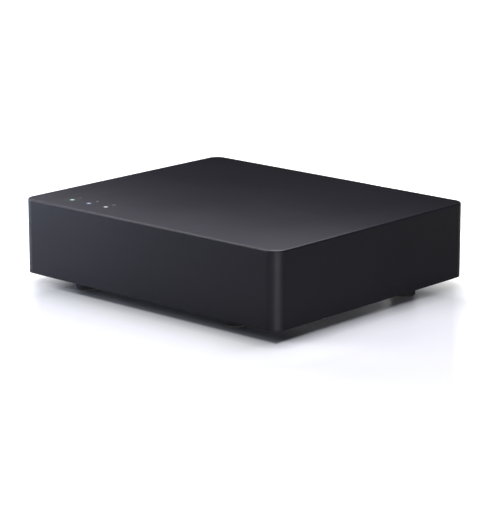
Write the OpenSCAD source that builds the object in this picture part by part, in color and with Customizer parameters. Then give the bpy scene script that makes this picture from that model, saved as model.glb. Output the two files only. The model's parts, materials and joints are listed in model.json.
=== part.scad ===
// Compact network music streamer: a rounded plastic cover over a steel base plate,
// with the connectors on a rear sheet panel and the electronics on two boards inside.
// Millimetres. X runs to the object's right, Y to its rear, Z up from the surface it stands on.

/* [Case] */
// Width of the case
case_w = 143; // [138:0.5:156]
// Depth of the case, without the coaxial barrel behind it
case_d = 120; // [114:0.5:135]
// Height of the cover, from its lower rim to its top
case_h = 32; // [30:0.5:40]
// Radius of the upright corners
corner_r = 5.2; // [4.4:0.1:7]
// Rounding along the top edge
edge_r = 0.7; // [0.3:0.1:1.4]
// Thickness of the side walls
wall = 2; // [1.6:0.1:2.4]
// Thickness of the top
top_t = 2.2; // [1.6:0.1:3]
// Chamfer inside the lower rim
rim_chamfer = 0.5; // [0.2:0.1:0.8]
// Thickness of the ribs inside the cover
rib_t = 1.2; // [0.8:0.1:1.8]
// Depth of the ribs under the top
rib_h = 2; // [1:0.1:3]
// Distance between the ribs that run front to rear
rib_pitch = 34; // [26:0.5:40]

/* [Fits] */
// Gap around sheets that drop into the case
fit_gap = 0.3; // [0.2:0.05:0.5]
// Radial clearance of pins, screws and light pipes in their bores
bore_gap = 0.05; // [0.03:0.01:0.09]
// Gap between a connector and its cut-out
port_gap = 0.25; // [0.15:0.05:0.5]
// Gap between the rear panel and the connector bodies behind it
seat_gap = 0.1; // [0.05:0.05:0.3]

/* [Base plate] */
// Thickness of the base plate
base_t = 1.2; // [1:0.1:1.6]
// How far the base plate lies up inside the rim
base_recess = 0.6; // [0.4:0.1:1.2]
// Width of one vent slot
vent_w = 1.8; // [1.2:0.1:2.4]
// Length of one vent slot
vent_l = 26; // [16:1:30]
// Distance between vent slots
vent_pitch = 4.5; // [3.6:0.1:5]
// Number of vent slots in each field
vent_count = 7; // [3:1:8]
// Distance from the middle to the first vent slot of a field
vent_start = 10; // [6:0.5:12]

/* [Feet] */
// Height of the gap under the case
foot_h = 4; // [3:0.1:6]
// Radius of a foot
foot_r = 5; // [4:0.1:5.4]
// Front foot centres, from the case's sides
foot_inset_x = 29.6; // [27:0.1:33]
// Front foot centres, from the case's front
foot_inset_front = 8.8; // [8.4:0.1:11]
// Rear foot centres, from the case's sides
foot_inset_side = 8.5; // [8.4:0.1:11]
// Rear foot centres, from the case's rear
foot_inset_rear = 30.8; // [28:0.1:33]
// Edge taken off the foot where it meets the floor
foot_edge = 0.7; // [0.3:0.1:1]
// Radius of the stem through the base plate
stem_r = 1.9; // [1.5:0.1:2.2]
// How far the barb stands out from the stem
barb_lip = 0.6; // [0.4:0.1:0.8]
// Height of the barb above the base plate
barb_h = 2; // [1.2:0.1:2.6]

/* [Screws] */
// Radius of the case screws
screw_r = 1.4; // [1.2:0.05:1.5]
// Length of the case screws under the head
screw_l = 10; // [8:0.5:14]
// Radius of a screw head
head_r = 2.6; // [2.2:0.1:2.8]
// Height of a screw head
head_h = 1.6; // [1.2:0.1:2]
// Radius of the small screws in boards and panel
small_screw_r = 1.2; // [1:0.05:1.25]
// Radius of a small screw's head
small_head_r = 2.2; // [1.9:0.1:2.4]
// Height of a small screw's head
small_head_h = 1.3; // [1:0.1:1.6]
// Length of a small screw in the boards
board_screw_l = 4.5; // [3.5:0.1:5]
// Length of a screw that holds the rear panel
panel_screw_l = 3.2; // [2.8:0.1:4]
// Length of the cross recess
cross_l = 2.2; // [1.6:0.1:2.8]
// Width of the cross recess
cross_w = 0.6; // [0.4:0.05:0.8]
// Depth of the cross recess
cross_depth = 0.8; // [0.5:0.1:1]

/* [Corner bosses] */
// Radius of the screw bosses
boss_r = 3.4; // [2.8:0.1:3.8]
// Boss centres, from the front and the sides
boss_inset = 8.6; // [7.6:0.1:9.4]
// Centres of the rear bosses, from the rear
boss_inset_rear = 10.5; // [9.5:0.1:11]
// Height at which the boss ribs start above the base plate
boss_rib_start = 8; // [7:0.5:14]

/* [Rear panel] */
// Thickness of the rear panel
panel_t = 1.5; // [1:0.1:1.8]
// How far the panel lies inside the case's rear face
panel_recess = 0.6; // [0.3:0.1:1.2]
// Width left between a corner's round and the rear opening
notch_margin = 2; // [1:0.1:4]
// Wall left above the rear opening, under the top
notch_lip = 0.8; // [0.4:0.1:2]
// Width of a mounting tab
tab_w = 11; // [9:0.5:14]
// Length of a mounting tab
tab_l = 9; // [7.5:0.5:11]
// Screw holes, from the end of a tab
tab_hole_inset = 3.45; // [3:0.05:4]
// Tab centres, from the middle
tab_x = 30; // [24:0.5:36]
// Inner radius of the tab's bend
bend_r = 0.6; // [0.4:0.1:1]

/* [Main board] */
// Thickness of the main board
board_t = 1.6; // [1.2:0.1:2]
// Gap between the board and the walls
board_margin = 1.2; // [0.8:0.1:2]
// Gap between the board and what its corners clear
board_clear = 0.8; // [0.5:0.1:1.2]
// Height of the standoffs
standoff_h = 4; // [3.6:0.1:5]
// Radius of a standoff across its corners
standoff_r = 2.8; // [2.4:0.1:3]
// Standoff centres, from the sides
stud_inset_x = 11.5; // [10:0.1:12.5]
// Front standoffs, from the front
stud_inset_front = 22; // [20:0.5:24]
// Rear standoffs, from the rear
stud_inset_rear = 42; // [41:0.5:44]

/* [Lights] */
// First light, from the left side
light_first = 18.4; // [17.5:0.1:19]
// Distance between lights
light_pitch = 10.05; // [8:0.05:11]
// Lights, from the front
light_inset = 11.25; // [10.5:0.05:12.5]
// Radius of a light pipe
pipe_r = 1; // [0.8:0.05:1.3]
// Radius of the light pipe's collar
pipe_collar_r = 1.8; // [1.6:0.1:2.2]
// Thickness of the light pipe's collar
pipe_collar_t = 1; // [0.6:0.1:1.5]
// Length of the sleeve that guides a light pipe
sleeve_l = 5; // [3:0.5:7]
// Wall of that sleeve
sleeve_t = 1; // [0.7:0.1:1.2]
// Gap between a light and its pipe
pipe_air = 0.3; // [0.2:0.1:0.6]

/* [Streaming module] */
// Width of the module board
module_w = 60; // [56:0.5:64]
// Depth of the module board
module_d = 46; // [42:0.5:48]
// Thickness of the module board
module_t = 1.2; // [1:0.1:1.6]
// Height of the module above the main board
module_lift = 5; // [4.4:0.1:6]
// Front edge of the module, from the case's front
module_front = 20; // [18:0.5:22]
// Side of the processor package
cpu_w = 17; // [14:0.5:19]
// Height of the processor package
cpu_h = 1.4; // [1:0.1:2]
// Thickness of the thermal pad
pad_t = 0.5; // [0.3:0.1:0.8]
// Side of the heat sink
sink_w = 24; // [20:0.5:26]
// Height of the heat sink
sink_h = 7; // [5:0.5:8]
// Thickness of the heat sink's base
sink_base = 1.8; // [1.2:0.1:2.4]
// Number of fins
fin_count = 7; // [5:1:8]
// Thickness of a fin
fin_t = 1; // [0.8:0.1:1.4]

/* [Antennas] */
// Length of an antenna strip
antenna_l = 38; // [30:0.5:44]
// Height of an antenna strip
antenna_h = 9; // [7:0.5:10]
// Thickness of an antenna strip
antenna_t = 0.4; // [0.3:0.05:0.6]
// Height of the antennas above the main board
antenna_lift = 6; // [5:0.5:8]
// Front end of the antennas, from the case's front
antenna_front = 30; // [28:0.5:34]
// Radius of an antenna cable
cable_r = 0.6; // [0.5:0.05:0.7]

/* [Power inlet] */
// Width of the inlet's body
power_w = 9; // [9:0.1:10]
// Depth of the inlet, from the panel's face
power_d = 14.4; // [13:0.1:16]
// Height of the inlet's body
power_h = 11; // [10.8:0.1:12]
// Height of the inlet's axis above the board
power_axis = 6.5; // [6.3:0.1:6.6]
// Radius of the round nose in the panel
power_nose_r = 4.2; // [4:0.05:4.4]
// Radius of the inlet's bore
power_bore_r = 3.15; // [3:0.05:3.3]
// Depth of the inlet's bore
power_bore_l = 10; // [9:0.1:11]
// Radius of the centre pin
power_pin_r = 1; // [0.95:0.05:1.25]
// How far the pin lies inside the inlet's face
power_pin_recess = 1; // [0.5:0.1:2]

/* [Reset button] */
// Width and height of the switch body
reset_w = 6.2; // [5.8:0.1:7]
// Depth of the switch body
reset_d = 4.6; // [4.4:0.1:6]
// Height of the button's axis above the board
reset_axis = 3.6; // [3.3:0.1:3.8]
// Radius of the button
button_r = 1.5; // [1.2:0.05:1.6]
// How far the button stands out of the panel
button_proud = 0.9; // [0.7:0.1:1.5]
// Travel of the button
button_travel = 0.5; // [0.3:0.05:0.6]
// How far the button's collar stands out from it
collar_lip = 0.7; // [0.4:0.1:0.8]
// Thickness of the button's collar
collar_t = 0.8; // [0.6:0.1:1]
// Thickness of the switch's front wall
reset_front = 0.8; // [0.6:0.1:1]

/* [Small jacks] */
// Width of a jack's body
jack_w = 6.4; // [6.3:0.1:7]
// Depth of a jack, from the panel's face
jack_d = 15; // [14.2:0.1:16]
// Height of a jack's body
jack_h = 6.8; // [6.6:0.1:7.4]
// Height of a jack's axis above the board
jack_axis = 3.4; // [3.2:0.1:3.6]
// Radius of a jack's nose
jack_nose_r = 3; // [2.7:0.05:3.1]
// Radius of a jack's bore
jack_bore_r = 1.8; // [1.78:0.01:1.9]
// Depth of a jack's bore
jack_bore_l = 13.4; // [12.6:0.1:13.8]
// Chamfer at a jack's mouth
jack_chamfer = 0.4; // [0.2:0.1:0.6]
// Depth of the moulded panel on a jack's top
jack_relief = 0.5; // [0.2:0.1:0.7]

/* [Network socket] */
// Width of the network socket
eth_w = 15.9; // [15.7:0.1:16.4]
// Height of the network socket
eth_h = 13.4; // [13.2:0.1:14]
// Depth of the network socket
eth_d = 21.3; // [18:0.1:23]
// Thickness of its shield
eth_shield_t = 0.3; // [0.2:0.05:0.35]
// Width of the plug's cavity
eth_cavity_w = 11.9; // [11.8:0.05:12.1]
// Height of the plug's cavity
eth_cavity_h = 6.9; // [6.7:0.05:7.1]
// Depth of the plug's cavity
eth_cavity_d = 13.5; // [12.5:0.1:15]
// Plastic above the plug's cavity
eth_roof = 1.2; // [1:0.1:1.4]
// Width of the latch slot
eth_latch_w = 6.2; // [6:0.1:6.6]
// Height of the latch slot
eth_latch_h = 2.4; // [2:0.1:2.6]
// Depth of the latch slot
eth_latch_d = 9; // [7:0.5:11]
// Distance between contacts
eth_pitch = 1.02; // [0.96:0.01:1.1]
// Width and thickness of a contact
eth_wire = 0.4; // [0.3:0.05:0.5]
// How far the contacts hang into the cavity
eth_dip = 1.9; // [1.4:0.1:2]
// Width of an indicator window
eth_light_w = 2.8; // [2.2:0.1:2.9]
// Height of an indicator window
eth_light_h = 2; // [1.6:0.1:2.4]
// Depth of an indicator window
eth_light_d = 5; // [3:0.5:6]

/* [Data socket] */
// Width of the data socket's shell
usb_w = 13.2; // [13:0.1:13.8]
// Height of the data socket's shell
usb_h = 5.8; // [5.7:0.1:6.4]
// Depth of the data socket's shell
usb_d = 14; // [13:0.1:15]
// Thickness of the shell
usb_shell_t = 0.35; // [0.3:0.05:0.4]
// Width of the tongue
usb_tongue_w = 11.1; // [10.8:0.1:11.4]
// Thickness of the tongue
usb_tongue_t = 1.85; // [1.7:0.05:1.95]
// Gap between the tongue and the top of the shell
usb_tongue_gap = 0.5; // [0.4:0.05:0.7]
// How far the tongue lies inside the mouth
usb_tongue_recess = 1; // [0.6:0.1:1.6]
// Depth of the block that carries the tongue
usb_block_d = 4; // [3:0.1:5]
// Distance between contacts
usb_pitch = 2.25; // [2:0.05:2.4]
// Width of a contact
usb_contact_w = 1; // [0.8:0.1:1.2]
// Thickness of a contact
usb_contact_t = 0.2; // [0.15:0.05:0.3]

/* [Optical socket] */
// Width of the optical socket's housing
optic_w = 10; // [9.7:0.1:11]
// Height of the housing
optic_h = 10; // [9.9:0.1:10.6]
// Depth of the housing
optic_d = 13.5; // [13:0.1:16]
// Thickness of the housing's face
optic_face_t = 1.6; // [1.4:0.1:1.8]
// Width of the opening in the face
optic_mouth_w = 6; // [5.6:0.1:6.2]
// Lower edge of the opening, above the board
optic_mouth_z = 1.9; // [1.9:0.1:2.1]
// Height of the opening
optic_mouth_h = 5.1; // [4.8:0.1:5.2]
// Floor of the chamber, above the board
optic_floor = 1.2; // [0.8:0.1:1.25]
// Thickness of the chamber's side walls
optic_side_t = 1.4; // [1.3:0.05:1.5]
// Thickness of the housing's top
optic_roof_t = 0.7; // [0.5:0.1:0.8]
// Depth of the chamber behind the face
optic_chamber_d = 8.3; // [8:0.1:8.6]
// Wall between the chamber and the emitter
optic_wall_t = 1.2; // [0.8:0.1:1.4]
// Radius of the hole for the fibre's tip
fibre_r = 1.3; // [1.26:0.01:1.5]
// Height of the shutter's hinge above the board
hinge_z = 8.4; // [8.35:0.01:8.5]
// Radius of the hinge pin
hinge_r = 0.4; // [0.35:0.01:0.45]
// Radius of the shutter's knuckles
knuckle_r = 0.7; // [0.62:0.01:0.7]
// Thickness of the shutter
shutter_t = 0.8; // [0.6:0.05:0.9]
// How far the shutter overlaps the opening
shutter_lap = 0.4; // [0.2:0.05:0.4]
// Gap between the closed shutter and the housing's face
shutter_air = 0.1; // [0.08:0.01:0.2]
// Gap at the shutter's sides
shutter_side_gap = 0.2; // [0.1:0.05:0.25]
// Length of the hinge pin inside a side wall
hinge_seat = 0.9; // [0.6:0.1:1]
// Width of the gap in the knuckles where the spring sits
spring_bay = 2.6; // [2.4:0.1:2.8]
// Radius of the spring's wire
spring_wire_r = 0.1; // [0.08:0.01:0.12]
// Gap between the spring's coil and the hinge pin
spring_air = 0.1; // [0.08:0.01:0.12]
// Distance between the spring's turns
spring_pitch = 0.64; // [0.6:0.01:0.66]
// Number of turns of the spring
spring_turns = 3; // [2:1:3]
// Length of the spring's legs
spring_leg = 2.2; // [1.6:0.1:3]

/* [Coaxial socket] */
// Width of the coaxial socket's body
coax_w = 10.6; // [10.2:0.1:12]
// Height of the body
coax_h = 12; // [11.8:0.1:13]
// Depth of the body
coax_d = 10; // [8:0.1:13]
// Height of the barrel's axis above the board
coax_axis = 6.6; // [6:0.1:6.7]
// Radius of the barrel
coax_r = 4.15; // [4.1:0.01:4.2]
// Length of the barrel behind the panel's face
coax_l = 8.5; // [8:0.1:10]
// Wall of the barrel
coax_wall = 0.8; // [0.6:0.05:0.9]
// Radius of the barrel's shoulder in the panel
shoulder_r = 4.4; // [4.35:0.05:4.8]
// Length of the shoulder outside the panel
shoulder_l = 0.6; // [0.4:0.1:0.9]
// Radius of the centre contact's bore
coax_bore_r = 1.6; // [1.58:0.01:1.7]
// Wall of the centre contact
coax_contact_t = 0.35; // [0.3:0.05:0.45]
// How far the insulator lies inside the barrel's mouth
coax_recess = 0.5; // [0.2:0.1:1]
// Depth of the centre contact's bore
coax_bore_l = 9; // [8:0.1:10]

/* [Hidden] */

$fn = 48;
// Overshoot of cutting tools past the face that they cut
over = 1;

// Places of the case
half_w = case_w / 2;
coax_proud = coax_l - panel_recess;
front_y = -(case_d + coax_proud) / 2;
rear_y = front_y + case_d;
mid_y = (front_y + rear_y) / 2;
top_z = foot_h + case_h;
ceiling_z = top_z - top_t;

// Base plate, rear opening and rear panel
base_z0 = foot_h + base_recess;
base_z1 = base_z0 + base_t;
base_gap = wall + fit_gap;
notch_w = case_w - 2 * (corner_r + notch_margin);
notch_z = ceiling_z - notch_lip;
panel_y = rear_y - panel_recess;
panel_in_y = panel_y - panel_t;
panel_w = notch_w - 2 * fit_gap;
panel_z1 = notch_z - fit_gap;
tab_hole_y = panel_y - tab_l + tab_hole_inset;

// Corner bosses and feet
boss_x = half_w - boss_inset;
boss_front_y = front_y + boss_inset;
boss_rear_y = rear_y - boss_inset_rear;
bosses = [for (side = [-1, 1]) for (y = [boss_front_y, boss_rear_y]) [side * boss_x, y]];
foot_front = [half_w - foot_inset_x, front_y + foot_inset_front];
foot_rear = [half_w - foot_inset_side, rear_y - foot_inset_rear];
feet = [for (side = [-1, 1]) for (place = [foot_front, foot_rear]) [side * place[0], place[1]]];

// Main board and its standoffs
board_z0 = base_z1 + standoff_h;
board_z1 = board_z0 + board_t;
board_x = half_w - wall - board_margin;
board_y0 = front_y + wall + board_margin;
board_y1 = panel_in_y - seat_gap;
corner_cut_x = boss_x - boss_r - board_clear;
corner_cut_front = boss_front_y + boss_r + board_clear;
corner_cut_rear = boss_rear_y - boss_r - board_clear;
stud_x = half_w - stud_inset_x;
stud_front_y = front_y + stud_inset_front;
stud_rear_y = rear_y - stud_inset_rear;
studs = [for (side = [-1, 1]) for (y = [stud_front_y, stud_rear_y]) [side * stud_x, y]];

// Indicator lights
light_y = front_y + light_inset;
led_size = [2, 1.25, 0.5];
led_dome = [1.3, 1, 0.4];
led_h = led_size[2] + led_dome[2];
sleeve_z = ceiling_z - sleeve_l;
function light_x(i) = -half_w + light_first + i * light_pitch;

// Streaming module
module_z0 = board_z1 + module_lift;
module_z1 = module_z0 + module_t;
module_y = front_y + module_front + module_d / 2;
module_stud_inset = 3.6;
module_stud_x = module_w / 2 - module_stud_inset;
module_stud_y = module_d / 2 - module_stud_inset;
module_studs = [
    for (side = [-1, 1])
        for (end = [-1, 1])
            [side * module_stud_x, module_y + end * module_stud_y]
];
cpu_x = 12;
radio_inset = 14;
radio_x = radio_inset - module_w / 2;
radio_size = [17, 15, 2.4];
plug_r = 1.3;
plug_h = 1.5;
plug_spread = 4;
plug_offset = 13;
plug_x = [radio_x - plug_spread, radio_x + plug_spread];
plug_y = module_y - plug_offset;

// Antennas
antenna_x = half_w - wall;
antenna_y0 = front_y + antenna_front;
antenna_z0 = board_z1 + antenna_lift;
pad_z = antenna_z0 + antenna_h / 2;
solder_inset = 4;

// Connector bank, in order from the object's right seen from the front
port_w = [power_w, reset_w, eth_w, usb_w, jack_w, jack_w, jack_w, optic_w, coax_w];
port_room = 2 * corner_cut_x;
port_space = (port_room - sum_to(port_w, len(port_w))) / (len(port_w) + 1);
power_i = 0;
reset_i = 1;
eth_i = 2;
usb_i = 3;
trigger_i = 4;
infrared_i = 5;
serial_i = 6;
optic_i = 7;
coax_i = 8;
body_y = -panel_t - seat_gap;
// Where the two halves of the rear panel meet
seam_x = port_x(trigger_i) + (jack_w + port_space) / 2;
function sum_to(list, n) = n <= 0 ? 0 : list[n - 1] + sum_to(list, n - 1);
function port_x(i) = port_room / 2 - (i + 1) * port_space - sum_to(port_w, i) - port_w[i] / 2;

// Inside the network socket
eth_lining = eth_shield_t + bore_gap;
eth_cavity_z1 = eth_h - eth_lining - eth_roof;
eth_cavity_z0 = eth_cavity_z1 - eth_cavity_h;
eth_latch_z0 = eth_cavity_z0 - eth_latch_h;
eth_light_margin = 0.8;
eth_light_x = eth_w / 2 - eth_lining - eth_light_w / 2 - eth_light_margin;
eth_light_z = 0.7;
eth_contact_count = 8;
eth_contact_inset = 3.4;

// Inside the data socket
usb_tongue_z1 = usb_h - usb_shell_t - usb_tongue_gap;
usb_tongue_z0 = usb_tongue_z1 - usb_tongue_t;
usb_contact_count = 4;

// Inside the optical socket
optic_chamber_x = optic_w / 2 - optic_side_t;
optic_chamber_y = -optic_face_t - optic_chamber_d;
shutter_x = optic_chamber_x - shutter_side_gap;
shutter_y = -optic_face_t - shutter_air;
hinge_y = shutter_y - knuckle_r;
shutter_z0 = optic_mouth_z - shutter_lap;
fibre_z = optic_mouth_z + optic_mouth_h / 2;
emitter_y = optic_chamber_y - optic_wall_t;

// Small turned and moulded details
pin_point = 0.4;
mouth_edge = 0.3;
body_edge = 0.6;

// Helpers

module block(lo, hi) {
    translate(lo)
        cube(hi - lo);
}

module rod_x(r, x0, x1) {
    translate([x0, 0, 0])
        rotate([0, 90, 0])
            cylinder(r = r, h = x1 - x0);
}

module rod_y(r, y0, y1) {
    translate([0, y1, 0])
        rotate([90, 0, 0])
            cylinder(r = r, h = y1 - y0);
}

// A turned piece: the profile's second coordinate runs along +Y
module turned_y() {
    rotate([-90, 0, 0])
        rotate_extrude()
            children();
}

// A plate with rounded upright corners, standing on z = 0
module rounded_plate(w, d, r, t) {
    block([-w / 2 + r, -d / 2, 0], [w / 2 - r, d / 2, t]);
    for (side = [0, 1])
        mirror([side, 0, 0])
            block([w / 2 - r, -d / 2 + r, 0], [w / 2, d / 2 - r, t]);
    for (k = [0 : 3]) {
        across = (k == 0 || k == 3) ? 1 : -1;
        along = (k < 2) ? 1 : -1;
        translate([across * (w / 2 - r), along * (d / 2 - r), 0])
            rotate(90 * k)
                rotate_extrude(angle = 90)
                    square([r, t]);
    }
}

// A slot with round ends along Y, cut upwards from z = 0
module slot_y(w, l, h) {
    block([-w / 2, -l / 2 + w / 2, 0], [w / 2, l / 2 - w / 2, h]);
    for (end = [-1, 1])
        translate([0, end * (l / 2 - w / 2), 0])
            cylinder(d = w, h = h);
}

// A screw that points up, with its head under z = 0
module screw(shaft_r, shaft_l, cap_r, cap_h) {
    difference() {
        union() {
            cylinder(r = shaft_r, h = shaft_l);
            translate([0, 0, -cap_h])
                cylinder(r1 = cap_r - body_edge, r2 = cap_r, h = cap_h);
        }
        for (turn = [0, 90])
            rotate(turn)
                block(
                    [-cross_l / 2, -cross_w / 2, -cap_h - over],
                    [cross_l / 2, cross_w / 2, cross_depth - cap_h]
                );
    }
}

// A tube swept along a path; ref is a direction that the path never takes
module tube(path, r, sides, ref) {
    last = len(path) - 1;
    rings = [
        for (k = [0 : last])
            let (
                ahead = path[min(k + 1, last)] - path[max(k - 1, 0)],
                t = ahead / norm(ahead),
                side = cross(ref, t),
                u = side / norm(side),
                v = cross(t, u)
            )
            for (j = [0 : sides - 1])
                path[k] + r * (cos(360 * j / sides) * u + sin(360 * j / sides) * v)
    ];
    walls = [
        for (k = [0 : last - 1])
            for (j = [0 : sides - 1])
                let (a = k * sides + j, b = k * sides + (j + 1) % sides)
                    each [[a, a + sides, b + sides], [a, b + sides, b]]
    ];
    start_cap = [for (j = [1 : sides - 2]) [0, j, j + 1]];
    end_cap = [for (j = [1 : sides - 2]) [last * sides, last * sides + j + 1, last * sides + j]];
    polyhedron(points = rings, faces = concat(walls, start_cap, end_cap));
}

// A smooth path through a few chosen points
function curve_at(p, q, r, s, t) =
    (2 * q + (r - p) * t + (2 * p - 5 * q + 4 * r - s) * t * t + (3 * q - p - 3 * r + s) * t * t * t) / 2;
function smooth_path(points, steps) = let (last = len(points) - 1) [
    for (i = [0 : last - 1])
        for (k = [0 : steps - 1])
            curve_at(points[max(i - 1, 0)], points[i], points[i + 1], points[min(i + 2, last)], k / steps),
    points[last]
];

// Cover

// Section through the top and a side wall; x runs outwards from the corner's axis
module cover_section() {
    difference() {
        union() {
            translate([corner_r - wall, foot_h])
                square([wall, case_h]);
            translate([0, ceiling_z])
                square([corner_r, top_t]);
        }
        translate([corner_r - edge_r, top_z - edge_r])
            difference() {
                square(edge_r + over);
                circle(edge_r);
            }
        translate([corner_r - wall, foot_h])
            polygon([
                [-over, -over],
                [rim_chamfer, -over],
                [rim_chamfer, 0],
                [0, rim_chamfer],
                [-over, rim_chamfer]
            ]);
    }
}

module cover_run(l) {
    translate([0, l / 2, 0])
        rotate([90, 0, 0])
            linear_extrude(l)
                cover_section();
}

module cover_shell() {
    core_x = half_w - corner_r;
    core_y = case_d / 2 - corner_r;
    translate([0, mid_y, 0]) {
        block([-core_x, -core_y, ceiling_z], [core_x, core_y, top_z]);
        for (k = [0 : 3]) {
            across = (k == 0 || k == 3) ? 1 : -1;
            along = (k < 2) ? 1 : -1;
            translate([across * core_x, along * core_y, 0])
                rotate(90 * k)
                    rotate_extrude(angle = 90)
                        cover_section();
        }
        for (k = [0, 2])
            rotate(90 * k)
                translate([core_x, 0, 0])
                    cover_run(2 * core_y);
        for (k = [1, 3])
            rotate(90 * k)
                translate([core_y, 0, 0])
                    cover_run(2 * core_x);
    }
}

module cover_bosses() {
    rib_z0 = base_z1 + boss_rib_start;
    for (place = bosses) {
        out = sign(place[0]);
        translate([place[0], place[1], base_z1])
            cylinder(r = boss_r, h = ceiling_z + top_t / 2 - base_z1);
        block(
            [min(place[0], out * (half_w - wall / 2)), place[1] - rib_t / 2, rib_z0],
            [max(place[0], out * (half_w - wall / 2)), place[1] + rib_t / 2, ceiling_z + top_t / 2]
        );
    }
    for (side = [-1, 1])
        block(
            [side * boss_x - rib_t / 2, front_y + wall / 2, rib_z0],
            [side * boss_x + rib_t / 2, boss_front_y, ceiling_z + top_t / 2]
        );
}

module cover_ribs() {
    inner_x = half_w - wall / 2;
    for (i = [-1 : 1])
        block(
            [i * rib_pitch - rib_t / 2, front_y + wall / 2, ceiling_z - rib_h],
            [i * rib_pitch + rib_t / 2, panel_in_y - board_clear, ceiling_z + top_t / 2]
        );
    for (y = [stud_front_y, stud_rear_y])
        block(
            [-inner_x, y - rib_t / 2, ceiling_z - rib_h],
            [inner_x, y + rib_t / 2, ceiling_z + top_t / 2]
        );
}

module top_cover() {
    color("#2e2e31")
        difference() {
            union() {
                cover_shell();
                cover_bosses();
                cover_ribs();
                for (i = [0 : 2])
                    translate([light_x(i), light_y, sleeve_z])
                        cylinder(r = pipe_r + sleeve_t, h = ceiling_z + top_t / 2 - sleeve_z);
            }
            block(
                [-notch_w / 2, rear_y - wall - over, foot_h - over],
                [notch_w / 2, rear_y + over, notch_z]
            );
            for (place = bosses)
                translate([place[0], place[1], base_z1 - over])
                    cylinder(r = screw_r + bore_gap, h = screw_l + over);
            for (i = [0 : 2])
                translate([light_x(i), light_y, sleeve_z - over])
                    cylinder(r = pipe_r + bore_gap, h = top_z - sleeve_z + 2 * over);
        }
}

// Base and rear

module base_plate() {
    color("#3a3a3d")
        difference() {
            union() {
                translate([0, mid_y, base_z0])
                    rounded_plate(
                        case_w - 2 * base_gap, case_d - 2 * base_gap, corner_r - base_gap, base_t
                    );
                block(
                    [-panel_w / 2, rear_y - base_gap - over, base_z0],
                    [panel_w / 2, panel_y, base_z1]
                );
            }
            translate([0, 0, base_z0 - over]) {
                for (place = bosses)
                    translate(place)
                        cylinder(r = screw_r + 2 * bore_gap, h = base_t + 2 * over);
                for (place = feet)
                    translate(place)
                        cylinder(r = stem_r + bore_gap, h = base_t + 2 * over);
                for (place = studs)
                    translate(place)
                        cylinder(r = small_screw_r + bore_gap, h = base_t + 2 * over);
                for (side = [-1, 1])
                    translate([side * tab_x, tab_hole_y, 0])
                        cylinder(r = small_screw_r + 2 * bore_gap, h = base_t + 2 * over);
                for (side = [-1, 1])
                    for (i = [0 : vent_count - 1])
                        translate([side * (vent_start + i * vent_pitch), mid_y, 0])
                            slot_y(vent_w, vent_l, base_t + 2 * over);
            }
        }
}

module panel_tab() {
    outer_r = bend_r + panel_t;
    block([-tab_w / 2, panel_y - tab_l, base_z1], [tab_w / 2, panel_y - outer_r, base_z1 + panel_t]);
    translate([-tab_w / 2, panel_y - outer_r, base_z1 + outer_r])
        rotate([90, 0, 90])
            rotate(-90)
                rotate_extrude(angle = 90)
                    translate([bend_r, 0])
                        square([panel_t, tab_w]);
}

module round_cut(i, z, r) {
    translate([port_x(i), panel_y, board_z1 + z])
        rod_y(r + port_gap, -panel_t - over, over);
}

module square_cut(i, w, z0, z1) {
    translate([port_x(i), panel_y, board_z1])
        block(
            [-w / 2 - port_gap, -panel_t - over, z0 - port_gap],
            [w / 2 + port_gap, over, z1 + port_gap]
        );
}

module panel_half(side) {
    low_x = side < 0 ? -panel_w / 2 : seam_x;
    high_x = side < 0 ? seam_x : panel_w / 2;
    color("#262628")
        difference() {
            union() {
                difference() {
                    block([low_x, panel_in_y, base_z1], [high_x, panel_y, panel_z1]);
                    translate([side * tab_x, 0, 0])
                        block(
                            [-tab_w / 2, panel_in_y - over, base_z1 - over],
                            [tab_w / 2, panel_y + over, base_z1 + bend_r + panel_t]
                        );
                }
                translate([side * tab_x, 0, 0])
                    panel_tab();
            }
            translate([side * tab_x, tab_hole_y, base_z1 - over])
                cylinder(r = small_screw_r + bore_gap, h = panel_t + 2 * over);
            children();
        }
}

module rear_panel() {
    panel_half(1) {
        round_cut(power_i, power_axis, power_nose_r);
        round_cut(reset_i, reset_axis, button_r);
        square_cut(eth_i, eth_w, 0, eth_h);
        square_cut(usb_i, usb_w, 0, usb_h);
    }
}

module rear_panel_jacks() {
    panel_half(-1) {
        for (i = [trigger_i, infrared_i, serial_i])
            round_cut(i, jack_axis, jack_nose_r);
        square_cut(optic_i, optic_w, 0, optic_h);
        round_cut(coax_i, coax_axis, shoulder_r);
    }
}

module foot(side, place) {
    color("#151515")
        translate([side * place[0], place[1], 0])
            rotate_extrude()
                polygon([
                    [0, 0],
                    [foot_r - foot_edge, 0],
                    [foot_r, foot_edge],
                    [foot_r, base_z0],
                    [stem_r, base_z0],
                    [stem_r, base_z1 + bore_gap],
                    [stem_r + barb_lip, base_z1 + bore_gap],
                    [stem_r - barb_lip, base_z1 + barb_h],
                    [0, base_z1 + barb_h]
                ]);
}

module foot_front_left() {
    foot(-1, foot_front);
}

module foot_front_right() {
    foot(1, foot_front);
}

module foot_rear_left() {
    foot(-1, foot_rear);
}

module foot_rear_right() {
    foot(1, foot_rear);
}

module case_screws() {
    color("#8d8f94")
        for (place = bosses)
            translate([place[0], place[1], base_z0])
                screw(screw_r, screw_l, head_r, head_h);
}

module panel_screws() {
    color("#8d8f94")
        for (side = [-1, 1])
            translate([side * tab_x, tab_hole_y, base_z0])
                screw(small_screw_r, panel_screw_l, small_head_r, small_head_h);
}

// Indicator lights

module light_pipe(i) {
    color("#e8f2f4")
        translate([light_x(i), light_y, 0])
            rotate_extrude()
                polygon([
                    [0, board_z1 + led_h + pipe_air],
                    [pipe_r, board_z1 + led_h + pipe_air],
                    [pipe_r, sleeve_z - pipe_collar_t],
                    [pipe_collar_r, sleeve_z - pipe_collar_t],
                    [pipe_collar_r, sleeve_z],
                    [pipe_r, sleeve_z],
                    [pipe_r, top_z],
                    [0, top_z]
                ]);
}

module light_pipe_power() {
    light_pipe(0);
}

module light_pipe_network() {
    light_pipe(1);
}

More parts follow.
